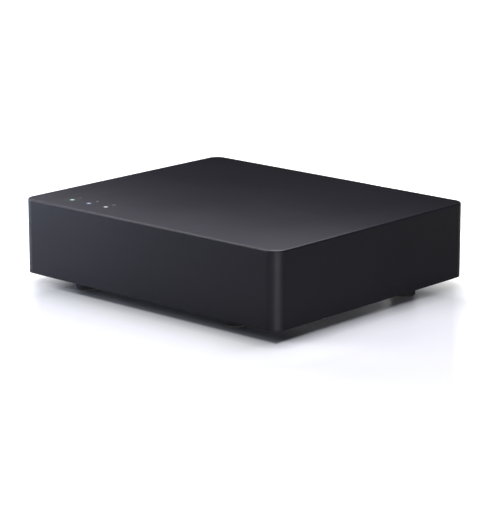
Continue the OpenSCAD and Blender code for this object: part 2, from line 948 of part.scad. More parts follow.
module light_pipe_status() {
    light_pipe(2);
}

module indicator_lights() {
    color("#f3f3ec")
        for (i = [0 : 2])
            translate([light_x(i), light_y, board_z1]) {
                translate([-led_size[0] / 2, -led_size[1] / 2, 0])
                    cube(led_size);
                translate([-led_dome[0] / 2, -led_dome[1] / 2, led_size[2]])
                    cube(led_dome);
            }
}

// Main board

module main_board() {
    color("#14532d")
        difference() {
            block([-board_x, board_y0, board_z0], [board_x, board_y1, board_z1]);
            for (side = [0, 1])
                mirror([side, 0, 0]) {
                    block(
                        [corner_cut_x, board_y0 - over, board_z0 - over],
                        [board_x + over, corner_cut_front, board_z1 + over]
                    );
                    block(
                        [corner_cut_x, corner_cut_rear, board_z0 - over],
                        [board_x + over, board_y1 + over, board_z1 + over]
                    );
                }
            for (place = studs)
                translate([place[0], place[1], board_z0 - over])
                    cylinder(r = small_screw_r + 2 * bore_gap, h = board_t + 2 * over);
        }
}

module board_standoffs() {
    color("#c9b26a")
        for (place = studs)
            translate([place[0], place[1], base_z0])
                difference() {
                    union() {
                        cylinder(r = small_screw_r, h = base_t);
                        translate([0, 0, base_t])
                            cylinder(r = standoff_r, h = standoff_h, $fn = 6);
                    }
                    translate([0, 0, base_t + board_clear])
                        cylinder(r = small_screw_r + bore_gap, h = standoff_h);
                }
}

module board_screws() {
    color("#8d8f94")
        for (place = studs)
            translate([place[0], place[1], board_z1])
                rotate([180, 0, 0])
                    screw(small_screw_r, board_screw_l, small_head_r, small_head_h);
}

// A flat chip with gull-wing leads along two sides
module leaded_chip(w, d, h, leads, pitch) {
    lead_w = pitch / 2;
    lead_reach = 1;
    lead_t = 0.25;
    lead_z = h / 2;
    block([-w / 2, -d / 2, lead_t / 2], [w / 2, d / 2, h]);
    for (side = [0, 1])
        mirror([0, side, 0])
            for (i = [0 : leads - 1])
                translate([(i - (leads - 1) / 2) * pitch, d / 2, 0])
                    rotate([90, 0, 90])
                        translate([0, 0, -lead_w / 2])
                            linear_extrude(lead_w)
                                polygon([
                                    [-lead_t, lead_z],
                                    [lead_reach / 2, lead_z],
                                    [lead_reach / 2, lead_t],
                                    [lead_reach, lead_t],
                                    [lead_reach, 0],
                                    [lead_reach / 2 - lead_t, 0],
                                    [lead_reach / 2 - lead_t, lead_z - lead_t],
                                    [-lead_t, lead_z - lead_t]
                                ]);
}

// Audio and logic chips in front of the digital outputs, and one at the data socket
chip_size = [10, 7, 1.8];
chip_leads = 7;
chip_pitch = 1.27;
chip_row_depth = 34;
chip_row_y = panel_y - chip_row_depth;

module logic_chips() {
    color("#1d1d1f")
        for (i = [optic_i, infrared_i, usb_i])
            translate([port_x(i), chip_row_y, board_z1])
                leaded_chip(chip_size[0], chip_size[1], chip_size[2], chip_leads, chip_pitch);
}

// Two step-down regulators with their inductors and capacitors, next to the power inlet
regulator_size = [5, 4, 1.6];
regulator_leads = 4;
power_zone_inset = 9;
power_zone_depth = 22;
power_zone_x = stud_x - power_zone_inset;
power_zone_y = panel_y - power_zone_depth;
zone_pitch = 10;
stage_pitch = 20;

module regulator_chips() {
    color("#1d1d1f")
        for (i = [0, 1])
            translate([power_zone_x, power_zone_y - zone_pitch - i * stage_pitch, board_z1])
                leaded_chip(
                    regulator_size[0], regulator_size[1], regulator_size[2], regulator_leads, chip_pitch
                );
}

capacitor_r = 3.15;
capacitor_h = 7.7;
capacitor_base = [6.6, 6.6, 0.8];

module storage_capacitors() {
    color("#b9bbc0")
        for (side = [-1, 1])
            for (i = [0, 1])
                translate([side * (power_zone_x - i * zone_pitch), power_zone_y, board_z1]) {
                    translate([-capacitor_base[0] / 2, -capacitor_base[1] / 2, 0])
                        cube(capacitor_base);
                    translate([0, 0, capacitor_base[2]])
                        cylinder(r = capacitor_r, h = capacitor_h - capacitor_base[2]);
                }
}

inductor_w = 7;
inductor_h = 3.4;
inductor_dish = 0.4;

module power_inductors() {
    color("#4a4a4e")
        for (i = [0, 1])
            translate([power_zone_x, power_zone_y - (i + 1) * stage_pitch, board_z1])
                difference() {
                    rounded_plate(inductor_w, inductor_w, body_edge, inductor_h);
                    translate([0, 0, inductor_h - inductor_dish])
                        cylinder(r = inductor_w / 2 - body_edge, h = over);
                }
}

oscillator_size = [5, 3.2, 1.2];
oscillator_lid = [4.2, 2.4, 0.3];

module clock_oscillators() {
    color("#d0d2d6")
        for (i = [0, 1])
            translate([-power_zone_x, power_zone_y - (i + 1) * zone_pitch, board_z1]) {
                translate([-oscillator_size[0] / 2, -oscillator_size[1] / 2, 0])
                    cube(oscillator_size);
                translate([-oscillator_lid[0] / 2, -oscillator_lid[1] / 2, oscillator_size[2]])
                    cube(oscillator_lid);
            }
}

// Isolating transformer between the network socket and its controller
transformer_size = [12.5, 7, 5.4];
transformer_leads = 8;

module pulse_transformer() {
    color("#202022")
        translate([port_x(eth_i), panel_y - eth_d - transformer_size[1], board_z1])
            leaded_chip(
                transformer_size[0], transformer_size[1], transformer_size[2],
                transformer_leads, chip_pitch
            );
}

// Streaming module

module module_board() {
    color("#12395e")
        difference() {
            block(
                [-module_w / 2, module_y - module_d / 2, module_z0],
                [module_w / 2, module_y + module_d / 2, module_z1]
            );
            for (place = module_studs)
                translate([place[0], place[1], module_z0 - over])
                    cylinder(r = small_screw_r + 2 * bore_gap, h = module_t + 2 * over);
        }
}

header_size = [38, 4.8];
header_groove = 1.6;

module module_headers() {
    half_l = header_size[0] / 2;
    half_d = header_size[1] / 2;
    groove = header_groove / 2;
    color("#232326")
        for (end = [-1, 1])
            translate([0, module_y + end * module_stud_y, board_z1])
                difference() {
                    block([-half_l, -half_d, 0], [half_l, half_d, module_lift]);
                    translate([0, end * half_d, module_lift / 2])
                        block([-half_l - over, -groove, 0], [half_l + over, groove, groove]);
                }
}

module module_spacers() {
    color("#c9b26a")
        for (place = module_studs)
            translate([place[0], place[1], board_z1])
                difference() {
                    cylinder(r = standoff_r, h = module_lift, $fn = 6);
                    translate([0, 0, board_clear])
                        cylinder(r = small_screw_r + bore_gap, h = module_lift);
                }
}

module module_screws() {
    color("#8d8f94")
        for (place = module_studs)
            translate([place[0], place[1], module_z1])
                rotate([180, 0, 0])
                    screw(small_screw_r, board_screw_l, small_head_r, small_head_h);
}

module processor() {
    color("#1d1d1f")
        translate([cpu_x, module_y, module_z1])
            rounded_plate(cpu_w, cpu_w, body_edge, cpu_h);
}

module thermal_pad() {
    color("#7fa3b8")
        translate([cpu_x, module_y, module_z1 + cpu_h])
            rounded_plate(cpu_w, cpu_w, body_edge, pad_t);
}

module heat_sink() {
    fin_l = sink_w - 2 * body_edge;
    fin_pitch = (fin_l - fin_t) / (fin_count - 1);
    color("#2b2b2d")
        translate([cpu_x, module_y, module_z1 + cpu_h + pad_t]) {
            rounded_plate(sink_w, sink_w, body_edge, sink_base);
            for (i = [0 : fin_count - 1])
                translate([i * fin_pitch - fin_l / 2, -fin_l / 2, 0])
                    cube([fin_t, fin_l, sink_h]);
        }
}

module radio_shield() {
    color("#c4c6ca")
        translate([radio_x, module_y, module_z1])
            rounded_plate(radio_size[0], radio_size[1], body_edge, radio_size[2]);
}

// Antennas

module antenna(side) {
    color("#caa24a")
        translate([0, antenna_y0, antenna_z0])
            block(
                [min(side * antenna_x, side * (antenna_x - antenna_t)), 0, 0],
                [max(side * antenna_x, side * (antenna_x - antenna_t)), antenna_l, antenna_h]
            );
}

module antenna_left() {
    antenna(-1);
}

module antenna_right() {
    antenna(1);
}

// Route of a cable from its antenna strip to its plug on the module, as offsets from the two ends
leave_offsets = [[2, 0, 0], [4, 0, 0], [10, -3, 1]];
arrive_offsets = [[12, -4, 4], [4, -5, 2.4], [0, -4, 0], [0, -2, 0]];
path_steps = 4;
cable_sides = 8;
cable_ref = [0, 0.3, 1];

module antenna_cable(side, plug) {
    start = [side * (antenna_x - antenna_t), antenna_y0 + solder_inset, pad_z];
    finish = [plug, plug_y - plug_r, module_z1 + plug_h / 2];
    inward = [-side, 1, 1];
    outward = [side, 1, 1];
    route = concat(
        [start],
        [for (p = leave_offsets) start + [p[0] * inward[0], p[1], p[2]]],
        [for (p = arrive_offsets) finish + [p[0] * outward[0], p[1], p[2]]],
        [finish]
    );
    color("#2c2c2e")
        tube(smooth_path(route, path_steps), cable_r, cable_sides, cable_ref);
}

module antenna_cable_left() {
    antenna_cable(-1, plug_x[0]);
}

module antenna_cable_right() {
    antenna_cable(1, plug_x[1]);
}

module antenna_plugs() {
    color("#c9a548")
        for (x = plug_x)
            translate([x, plug_y, module_z1])
                cylinder(r = plug_r, h = plug_h);
}

// Power inlet

module power_jack() {
    color("#19191b")
        translate([port_x(power_i), panel_y, board_z1])
            difference() {
                union() {
                    block([-power_w / 2, -power_d, 0], [power_w / 2, body_y, power_h]);
                    translate([0, 0, power_axis])
                        rod_y(power_nose_r, body_y - over, 0);
                }
                translate([0, 0, power_axis])
                    rod_y(power_bore_r, -power_bore_l, over);
            }
}

module power_jack_pin() {
    tip_y = power_bore_l - power_pin_recess;
    color("#d2d4d8")
        translate([port_x(power_i), panel_y - power_bore_l, board_z1 + power_axis])
            turned_y()
                polygon([
                    [0, 0], [power_pin_r, 0], [power_pin_r, tip_y - pin_point],
                    [power_pin_r - pin_point, tip_y], [0, tip_y]
                ]);
}

// Reset button

module reset_switch() {
    cavity_r = button_r + collar_lip + fit_gap / 2;
    cavity_y = body_y - reset_front;
    cavity_l = collar_t + button_travel + fit_gap;
    color("#202022")
        translate([port_x(reset_i), panel_y, board_z1])
            difference() {
                block(
                    [-reset_w / 2, body_y - reset_d, 0],
                    [reset_w / 2, body_y, reset_axis + reset_w / 2]
                );
                translate([0, 0, reset_axis]) {
                    rod_y(button_r + bore_gap, cavity_y - cavity_l / 2, over);
                    rod_y(cavity_r, cavity_y - cavity_l, cavity_y);
                }
            }
}

module reset_button() {
    collar_y = body_y - reset_front - bore_gap;
    color("#5a5b60")
        translate([port_x(reset_i), panel_y, board_z1 + reset_axis])
            turned_y()
                polygon([
                    [0, collar_y - collar_t],
                    [button_r + collar_lip, collar_y - collar_t],
                    [button_r + collar_lip, collar_y],
                    [button_r, collar_y],
                    [button_r, button_proud - mouth_edge],
                    [button_r - mouth_edge, button_proud],
                    [0, button_proud]
                ]);
}

// Small jacks

module small_jack(i) {
    relief_x = jack_w / 2 - body_edge;
    color("#19191b")
        translate([port_x(i), panel_y, board_z1])
            difference() {
                union() {
                    block([-jack_w / 2, -jack_d, 0], [jack_w / 2, body_y, jack_h]);
                    translate([0, 0, jack_axis])
                        rod_y(jack_nose_r, body_y - over, 0);
                }
                translate([0, 0, jack_axis]) {
                    rod_y(jack_bore_r, -jack_bore_l, over);
                    turned_y()
                        polygon([
                            [0, -jack_chamfer],
                            [jack_bore_r, -jack_chamfer],
                            [jack_bore_r + jack_chamfer, 0],
                            [jack_bore_r + jack_chamfer, over],
                            [0, over]
                        ]);
                }
                block(
                    [-relief_x, -jack_d + body_edge, jack_h - jack_relief],
                    [relief_x, body_y - 2 * body_edge, jack_h + over]
                );
            }
}

module trigger_jack() {
    small_jack(trigger_i);
}

module infrared_jack() {
    small_jack(infrared_i);
}

module serial_jack() {
    small_jack(serial_i);
}

// Network socket

module ethernet_shield() {
    inner_x = eth_w / 2 - eth_shield_t;
    color("#c4c6ca")
        translate([port_x(eth_i), panel_y, board_z1])
            difference() {
                block([-eth_w / 2, -eth_d, 0], [eth_w / 2, 0, eth_h]);
                block([-inner_x, -eth_d + eth_shield_t, -over], [inner_x, over, eth_h - eth_shield_t]);
            }
}

module ethernet_insert() {
    inner_x = eth_w / 2 - eth_lining;
    color("#1a1a1c")
        translate([port_x(eth_i), panel_y, board_z1])
            difference() {
                block([-inner_x, -eth_d + eth_lining, 0], [inner_x, 0, eth_h - eth_lining]);
                block(
                    [-eth_cavity_w / 2, -eth_cavity_d, eth_cavity_z0],
                    [eth_cavity_w / 2, over, eth_cavity_z1]
                );
                block(
                    [-eth_latch_w / 2, -eth_latch_d, eth_latch_z0],
                    [eth_latch_w / 2, over, eth_cavity_z0 + over]
                );
                for (side = [-1, 1])
                    translate([side * eth_light_x, 0, eth_light_z])
                        block([-eth_light_w / 2, -eth_light_d, 0], [eth_light_w / 2, over, eth_light_h]);
            }
}

module ethernet_contacts() {
    bend_y = -eth_contact_inset;
    tip_y = eth_contact_inset - eth_cavity_d;
    first_x = -(eth_contact_count - 1) * eth_pitch / 2 - eth_wire / 2;
    color("#d8b354")
        translate([port_x(eth_i), panel_y, board_z1 + eth_cavity_z1])
            for (i = [0 : eth_contact_count - 1])
                translate([first_x + i * eth_pitch, 0, 0])
                    rotate([90, 0, 90])
                        linear_extrude(eth_wire)
                            polygon([
                                [bend_y, 0],
                                [bend_y - 2 * eth_wire, 0],
                                [tip_y, eth_wire - eth_dip],
                                [tip_y, -eth_dip],
                                [bend_y, -eth_wire]
                            ]);
}

module ethernet_lights() {
    color("#9fbf6a")
        translate([port_x(eth_i), panel_y, board_z1 + eth_light_z])
            for (side = [-1, 1])
                translate([side * eth_light_x, 0, 0])
                    block(
                        [bore_gap - eth_light_w / 2, -eth_light_d, 0],
                        [eth_light_w / 2 - bore_gap, 0, eth_light_h - bore_gap]
                    );
}

// Data socket

module usb_shell() {
    inner_x = usb_w / 2 - usb_shell_t;
    finger_w = 1.6;
    finger_l = 5.5;
    finger_x = 3;
    finger_cut = 0.5;
    color("#c4c6ca")
        translate([port_x(usb_i), panel_y, board_z1])
            difference() {
                block([-usb_w / 2, -usb_d, 0], [usb_w / 2, 0, usb_h]);
                block(
                    [-inner_x, -usb_d + usb_shell_t, usb_shell_t],
                    [inner_x, over, usb_h - usb_shell_t]
                );
                for (side = [-1, 1])
                    translate([side * finger_x, body_y - finger_cut, usb_h - 2 * usb_shell_t])
                        difference() {
                            block(
                                [-finger_w / 2 - finger_cut, -finger_l, 0],
                                [finger_w / 2 + finger_cut, 0, over]
                            );
                            block(
                                [-finger_w / 2, -finger_l - over, -over],
                                [finger_w / 2, -finger_cut, 2 * over]
                            );
                        }
            }
}

module usb_tongue() {
    block_x = usb_w / 2 - usb_shell_t - bore_gap;
    back_y = -usb_d + usb_shell_t + bore_gap;
    color("#e9e9e6")
        translate([port_x(usb_i), panel_y, board_z1]) {
            block(
                [-block_x, back_y, usb_shell_t],
                [block_x, back_y + usb_block_d, usb_h - usb_shell_t - bore_gap]
            );
            block(
                [-usb_tongue_w / 2, back_y + usb_block_d, usb_tongue_z0],
                [usb_tongue_w / 2, -usb_tongue_recess, usb_tongue_z1]
            );
        }
}

module usb_contacts() {
    back_y = -usb_d + usb_shell_t + bore_gap + usb_block_d;
    first_x = -(usb_contact_count - 1) * usb_pitch / 2;
    color("#d8b354")
        translate([port_x(usb_i), panel_y, board_z1])
            for (i = [0 : usb_contact_count - 1])
                translate([first_x + i * usb_pitch, 0, 0])
                    block(
                        [-usb_contact_w / 2, back_y, usb_tongue_z0 - usb_contact_t],
                        [usb_contact_w / 2, -usb_tongue_recess - usb_contact_w, usb_tongue_z0]
                    );
}

// Optical socket

module optical_housing() {
    color("#1a1a1c")
        translate([port_x(optic_i), panel_y, board_z1])
            difference() {
                block([-optic_w / 2, -optic_d, 0], [optic_w / 2, 0, optic_h]);
                block(
                    [-optic_mouth_w / 2, -optic_face_t - over, optic_mouth_z],
                    [optic_mouth_w / 2, over, optic_mouth_z + optic_mouth_h]
                );
                block(
                    [-optic_chamber_x, optic_chamber_y, optic_floor],
                    [optic_chamber_x, -optic_face_t, optic_h - optic_roof_t]
                );
                block(
                    [-optic_chamber_x, -optic_d - over, optic_floor],
                    [optic_chamber_x, emitter_y, optic_h - optic_roof_t]
                );
                translate([0, 0, fibre_z])
                    rod_y(fibre_r, emitter_y - over, optic_chamber_y + over);
                translate([0, hinge_y, hinge_z])
                    rod_x(
                        hinge_r + bore_gap,
                        -optic_chamber_x - hinge_seat - bore_gap,
                        optic_chamber_x + hinge_seat + bore_gap
                    );
            }
}

// A flap hinged along its top edge, with its pins in the housing's side walls
module optical_shutter() {
    pin_x = optic_chamber_x + hinge_seat;
    bay = spring_bay / 2;
    bay_z = hinge_z - knuckle_r - 2 * spring_wire_r - fit_gap;
    color("#39393c")
        translate([port_x(optic_i), panel_y, board_z1]) {
            difference() {
                block([-shutter_x, shutter_y - shutter_t, shutter_z0], [shutter_x, shutter_y, hinge_z]);
                block(
                    [-bay, shutter_y - shutter_t - over, bay_z],
                    [bay, shutter_y + over, hinge_z + over]
                );
                translate([0, hinge_y, hinge_z])
                    for (side = [0, 1])
                        mirror([side, 0, 0])
                            rod_x(hinge_r, bay, shutter_x + over);
            }
            translate([0, hinge_y, hinge_z]) {
                rod_x(hinge_r, -pin_x, pin_x);
                for (side = [0, 1])
                    mirror([side, 0, 0])
                        difference() {
                            rod_x(knuckle_r, bay, shutter_x);
                            rod_x(hinge_r, 0, shutter_x + over);
                        }
            }
        }
}

// A torsion spring on the hinge pin: one leg under the roof, the other on the shutter's back
module shutter_spring() {
    coil_r = hinge_r + spring_air + spring_wire_r;
    rings = 12;
    wire_sides = 6;
    quarter_turn = 0.25;
    turns = spring_turns + quarter_turn;
    coil_x = spring_pitch * turns / 2;
    roof_z = optic_h - optic_roof_t - hinge_z - spring_wire_r - bore_gap;
    back_y = shutter_y - shutter_t - spring_wire_r - bore_gap - hinge_y;
    coil = [
        for (k = [0 : turns * rings])
            let (a = 90 + 360 * k / rings)
                [spring_pitch * k / rings - coil_x, coil_r * cos(a), coil_r * sin(a)]
    ];
    roof_leg = [[-coil_x, -spring_leg, roof_z], [-coil_x, -spring_leg / 2, roof_z / 2 + coil_r / 2]];
    shutter_leg = [[coil_x, back_y / 2 - coil_r / 2, -spring_leg / 2], [coil_x, back_y, -spring_leg]];
    color("#b9bbc0")
        translate([port_x(optic_i), panel_y + hinge_y, board_z1 + hinge_z])
            tube(concat(roof_leg, coil, shutter_leg), spring_wire_r, wire_sides, [1, 0, 0]);
}

// Emitter block with a lens that looks through the hole for the fibre
module optical_emitter() {
    color("#2a2a2c")
        translate([port_x(optic_i), panel_y, board_z1]) {
            block(
                [bore_gap - optic_chamber_x, -optic_d, optic_floor + bore_gap],
                [optic_chamber_x - bore_gap, emitter_y, optic_h - optic_roof_t - bore_gap]
            );
            translate([0, emitter_y, fibre_z])
                turned_y()
                    square([fibre_r - bore_gap, optic_wall_t / 2]);
        }
}

// Coaxial socket

module coax_body() {
    color("#1a1a1c")
        translate([port_x(coax_i), panel_y, board_z1])
            difference() {
                block([-coax_w / 2, body_y - coax_d, 0], [coax_w / 2, body_y, coax_h]);
                translate([0, 0, coax_axis])
                    rod_y(coax_r + bore_gap, body_y - coax_d / 2, over);
            }
}

module coax_barrel() {
    inner_r = coax_r - coax_wall;
    color("#d3b15c")
        translate([port_x(coax_i), panel_y, board_z1 + coax_axis])
            turned_y()
                polygon([
                    [inner_r, body_y - coax_d / 2],
                    [coax_r, body_y - coax_d / 2],
                    [coax_r, body_y + bore_gap],
                    [shoulder_r, body_y + bore_gap],
                    [shoulder_r, shoulder_l],
                    [coax_r, shoulder_l],
                    [coax_r, coax_l - mouth_edge],
                    [coax_r - mouth_edge, coax_l],
                    [inner_r, coax_l]
                ]);
}

module coax_insulator() {
    color("#d9762b")
        translate([port_x(coax_i), panel_y, board_z1 + coax_axis])
            turned_y()
                translate([coax_bore_r + coax_contact_t + bore_gap, body_y - coax_d / 2])
                    square([
                        coax_r - coax_wall - coax_bore_r - coax_contact_t - 2 * bore_gap,
                        coax_l - coax_recess - body_y + coax_d / 2
                    ]);
}

module coax_contact() {
    root_y = body_y - coax_d / 2;
    mouth_y = coax_l - coax_recess;
    color("#d8b354")
        translate([port_x(coax_i), panel_y, board_z1 + coax_axis])
            turned_y()
                polygon([
                    [0, root_y],
                    [coax_bore_r + coax_contact_t, root_y],
                    [coax_bore_r + coax_contact_t, mouth_y],
                    [coax_bore_r, mouth_y],
                    [coax_bore_r, mouth_y - coax_bore_l],
                    [0, mouth_y - coax_bore_l]
                ]);
}

top_cover();
base_plate();
rear_panel();
rear_panel_jacks();
foot_front_left();
foot_front_right();
foot_rear_left();
foot_rear_right();
case_screws();
panel_screws();
light_pipe_power();
light_pipe_network();
light_pipe_status();
indicator_lights();
main_board();
board_standoffs();
board_screws();
logic_chips();
regulator_chips();
storage_capacitors();
power_inductors();
clock_oscillators();
pulse_transformer();
module_board();
module_headers();
module_spacers();
module_screws();
processor();
thermal_pad();
heat_sink();
radio_shield();
antenna_left();
antenna_right();
antenna_cable_left();
antenna_cable_right();
antenna_plugs();
power_jack();
power_jack_pin();
reset_switch();
reset_button();
trigger_jack();
infrared_jack();
serial_jack();
ethernet_shield();
ethernet_insert();
ethernet_contacts();
ethernet_lights();
usb_shell();
usb_tongue();
usb_contacts();
optical_housing();
optical_shutter();
shutter_spring();
optical_emitter();
coax_body();
coax_barrel();
coax_insulator();
coax_contact();
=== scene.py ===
import json
import math

import bmesh
import bpy
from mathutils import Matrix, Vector

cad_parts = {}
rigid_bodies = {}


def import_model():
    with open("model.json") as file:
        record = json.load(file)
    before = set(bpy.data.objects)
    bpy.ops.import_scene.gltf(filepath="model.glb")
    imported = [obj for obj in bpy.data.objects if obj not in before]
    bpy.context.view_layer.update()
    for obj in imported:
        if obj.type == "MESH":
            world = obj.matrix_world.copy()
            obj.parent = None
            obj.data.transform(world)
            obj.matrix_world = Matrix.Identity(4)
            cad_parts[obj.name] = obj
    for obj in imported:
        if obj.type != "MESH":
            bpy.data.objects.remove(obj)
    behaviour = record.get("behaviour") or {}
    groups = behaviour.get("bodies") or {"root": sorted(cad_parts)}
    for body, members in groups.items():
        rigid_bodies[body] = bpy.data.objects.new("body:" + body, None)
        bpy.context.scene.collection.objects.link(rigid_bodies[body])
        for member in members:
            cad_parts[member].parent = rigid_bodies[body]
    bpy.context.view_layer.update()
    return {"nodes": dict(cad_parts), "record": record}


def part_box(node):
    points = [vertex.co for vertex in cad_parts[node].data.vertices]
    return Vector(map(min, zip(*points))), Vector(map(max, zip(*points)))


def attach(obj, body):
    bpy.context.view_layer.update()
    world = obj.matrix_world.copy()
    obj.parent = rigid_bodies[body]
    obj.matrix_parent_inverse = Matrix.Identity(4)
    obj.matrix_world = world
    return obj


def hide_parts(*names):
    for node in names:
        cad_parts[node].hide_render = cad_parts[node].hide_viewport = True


for leftover in list(bpy.data.objects):
    bpy.data.objects.remove(leftover)
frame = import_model()
nodes = frame["nodes"]
coverLow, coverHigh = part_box("top_cover")
scene = bpy.context.scene
scene.view_settings.view_transform = "Standard"
mm = 0.001
bevelSamples = 4
black, white = (0.0, 0.0, 0.0), (1.0, 1.0, 1.0)
print("frame loaded:", len(nodes), "nodes")


# Camera, fitted to the edges of the case

shot = {
    "eye": (635.745, -701.801, 247.414),  # millimetres
    "azimuth": 42.174,
    "elevation": 14.279,
    "focalPixels": 2299.3,
    "framePixels": (500, 532),
    "sensorWidth": 36.0,
    "clip": (0.01, 50.0),  # metres
}


def placeCamera(shot):
    azimuth, elevation = math.radians(shot["azimuth"]), math.radians(shot["elevation"])
    level = math.cos(elevation)
    back = Vector((math.sin(azimuth) * level, -math.cos(azimuth) * level, math.sin(elevation)))
    lens = bpy.data.cameras.new("productCamera")
    lens.sensor_width = shot["sensorWidth"]
    lens.lens = shot["focalPixels"] / max(shot["framePixels"]) * shot["sensorWidth"]
    lens.clip_start, lens.clip_end = shot["clip"]
    camera = bpy.data.objects.new("productCamera", lens)
    camera.location = [value * mm for value in shot["eye"]]
    camera.rotation_euler = (-back).to_track_quat("-Z", "Y").to_euler()
    scene.collection.objects.link(camera)
    scene.camera = camera


placeCamera(shot)
print("camera placed")


# Node helpers

def addNode(tree, kind, inputs=None, **settings):
    node = tree.nodes.new(kind)
    for key, value in settings.items():
        setattr(node, key, value)
    for socket, value in (inputs or {}).items():
        if isinstance(value, bpy.types.NodeSocket):
            tree.links.new(value, node.inputs[socket])
        else:
            node.inputs[socket].default_value = value
    return node


def doMath(tree, operation, first, second=0.0):
    return addNode(tree, "ShaderNodeMath", {0: first, 1: second}, operation=operation).outputs[0]


def plus(tree, first, second):
    return doMath(tree, "ADD", first, second)


def minus(tree, first, second):
    return doMath(tree, "SUBTRACT", first, second)


def times(tree, first, second):
    return doMath(tree, "MULTIPLY", first, second)


def gapTo(tree, value, middle):
    return doMath(tree, "ABSOLUTE", minus(tree, value, middle))


def doVector(tree, operation, *values):
    node = addNode(tree, "ShaderNodeVectorMath", dict(enumerate(values)), operation=operation)
    return node.outputs["Value" if operation in ("DOT_PRODUCT", "DISTANCE") else "Vector"]


def mapRange(tree, value, fromLow, fromHigh, toLow=0.0, toHigh=1.0):
    inputs = {"Value": value, "From Min": fromLow, "From Max": fromHigh, "To Min": toLow, "To Max": toHigh}
    return addNode(tree, "ShaderNodeMapRange", inputs).outputs["Result"]


def mixColour(tree, factor, first, second, blend="MIX"):
    node = addNode(tree, "ShaderNodeMix", data_type="RGBA", blend_type=blend)
    for socket, value in ((0, factor), (6, first), (7, second)):
        if isinstance(value, bpy.types.NodeSocket):
            tree.links.new(value, node.inputs[socket])
        else:
            node.inputs[socket].default_value = value if socket == 0 else (*value, 1.0)
    return node.outputs[2]


def addNoise(tree, place, scale, detail, **more):
    inputs = {"Vector": place, "Scale": scale, "Detail": detail, **more}
    return addNode(tree, "ShaderNodeTexNoise", inputs).outputs["Fac"]


def objectPlace(tree):
    return addNode(tree, "ShaderNodeTexCoord").outputs["Object"]


def surfaceNormal(tree):
    return addNode(tree, "ShaderNodeNewGeometry").outputs["Normal"]


def splitAxes(tree, vector):
    return addNode(tree, "ShaderNodeSeparateXYZ", {0: vector}).outputs


def newGroup(name, inputs, outputs):
    tree = bpy.data.node_groups.new(name, "ShaderNodeTree")
    for label, kind, value in inputs:
        socket = tree.interface.new_socket(label, in_out="INPUT", socket_type="NodeSocket" + kind)
        socket.default_value = value
    for label in outputs:
        tree.interface.new_socket(label, in_out="OUTPUT", socket_type="NodeSocketFloat")
    start = addNode(tree, "NodeGroupInput").outputs
    finish = addNode(tree, "NodeGroupOutput").inputs
    return tree, start, finish


def placeGroup(tree, group, values):
    node = addNode(tree, "ShaderNodeGroup", node_tree=group)
    for label, value in values.items():
        node.inputs[label].default_value = value
    return node.outputs


# Effects that several finishes share

grainShape = {
    "detail": 3.0,
    "pebbleShare": 0.6,
    "broadScale": 0.3,
    "broadDetail": 2.0,
    "speckle": (0.35, 0.65),
}


def makeMouldGrain(shape):
    tree, start, finish = newGroup("mouldGrain", [("Scale", "Float", 4000.0)], ["Height", "Speckle"])
    place = objectPlace(tree)
    fine = addNoise(tree, place, start["Scale"], shape["detail"])
    pebble = addNode(tree, "ShaderNodeTexVoronoi", {"Vector": place, "Scale": start["Scale"]},
                     feature="SMOOTH_F1").outputs["Distance"]
    broadScale = times(tree, start["Scale"], shape["broadScale"])
    broad = addNoise(tree, place, broadScale, shape["broadDetail"])
    tree.links.new(plus(tree, fine, times(tree, pebble, shape["pebbleShare"])), finish["Height"])
    tree.links.new(mapRange(tree, broad, *shape["speckle"]), finish["Speckle"])
    return tree


patchShape = {
    "detail": 4.0,
    "distortion": 0.4,
    "spread": (0.35, 0.65),
}


def makeSoftPatches(shape):
    tree, start, finish = newGroup("softPatches", [("Scale", "Float", 40.0)], ["Mask"])
    cloud = addNoise(tree, objectPlace(tree), start["Scale"], shape["detail"], Distortion=shape["distortion"])
    tree.links.new(mapRange(tree, cloud, *shape["spread"]), finish["Mask"])
    return tree


rubShape = {
    "turn": (0.995, 0.8),  # how far the rounded normal turns from the plain one
    "detail": 3.0,
    "breakup": (0.4, 0.6),
}


def makeEdgeRub(shape):
    inputs = [("Radius", "Float", 0.0003), ("Breakup", "Float", 900.0)]
    tree, start, finish = newGroup("edgeRub", inputs, ["Mask"])
    rounded = addNode(tree, "ShaderNodeBevel", {"Radius": start["Radius"]}, samples=bevelSamples)
    turn = doVector(tree, "DOT_PRODUCT", rounded.outputs[0], surfaceNormal(tree))
    breakup = addNoise(tree, objectPlace(tree), start["Breakup"], shape["detail"])
    mask = times(tree, mapRange(tree, turn, *shape["turn"]), mapRange(tree, breakup, *shape["breakup"]))
    tree.links.new(mask, finish["Mask"])
    return tree


dustShape = {
    "speckDetail": 2.0,
    "specks": (0.55, 0.8),
    "driftScale": 30.0,
    "driftDetail": 3.0,
    "drifts": (0.35, 0.7),
    "upward": (0.3, 1.0),  # it lies only on what faces up
}


def makeSettledDust(shape):
    tree, start, finish = newGroup("settledDust", [("Scale", "Float", 1400.0)], ["Mask"])
    place = objectPlace(tree)
    specks = addNoise(tree, place, start["Scale"], shape["speckDetail"])
    drifts = addNoise(tree, place, shape["driftScale"], shape["driftDetail"])
    mask = times(tree, mapRange(tree, specks, *shape["specks"]), mapRange(tree, drifts, *shape["drifts"]))
    upward = mapRange(tree, splitAxes(tree, surfaceNormal(tree))["Z"], *shape["upward"])
    tree.links.new(times(tree, mask, upward), finish["Mask"])
    return tree


brushShape = {
    "detail": 4.0,
    "roughness": 0.65,
    "spread": (0.3, 0.7),
}


def makeBrushedLines(shape):
    inputs = [("Stretch", "Vector", (60.0, 4000.0, 4000.0)), ("Scale", "Float", 1.0)]
    tree, start, finish = newGroup("brushedLines", inputs, ["Line"])
    stretched = doVector(tree, "MULTIPLY", objectPlace(tree), start["Stretch"])
    lines = addNoise(tree, stretched, start["Scale"], shape["detail"], Roughness=shape["roughness"])
    tree.links.new(mapRange(tree, lines, *shape["spread"]), finish["Line"])
    return tree


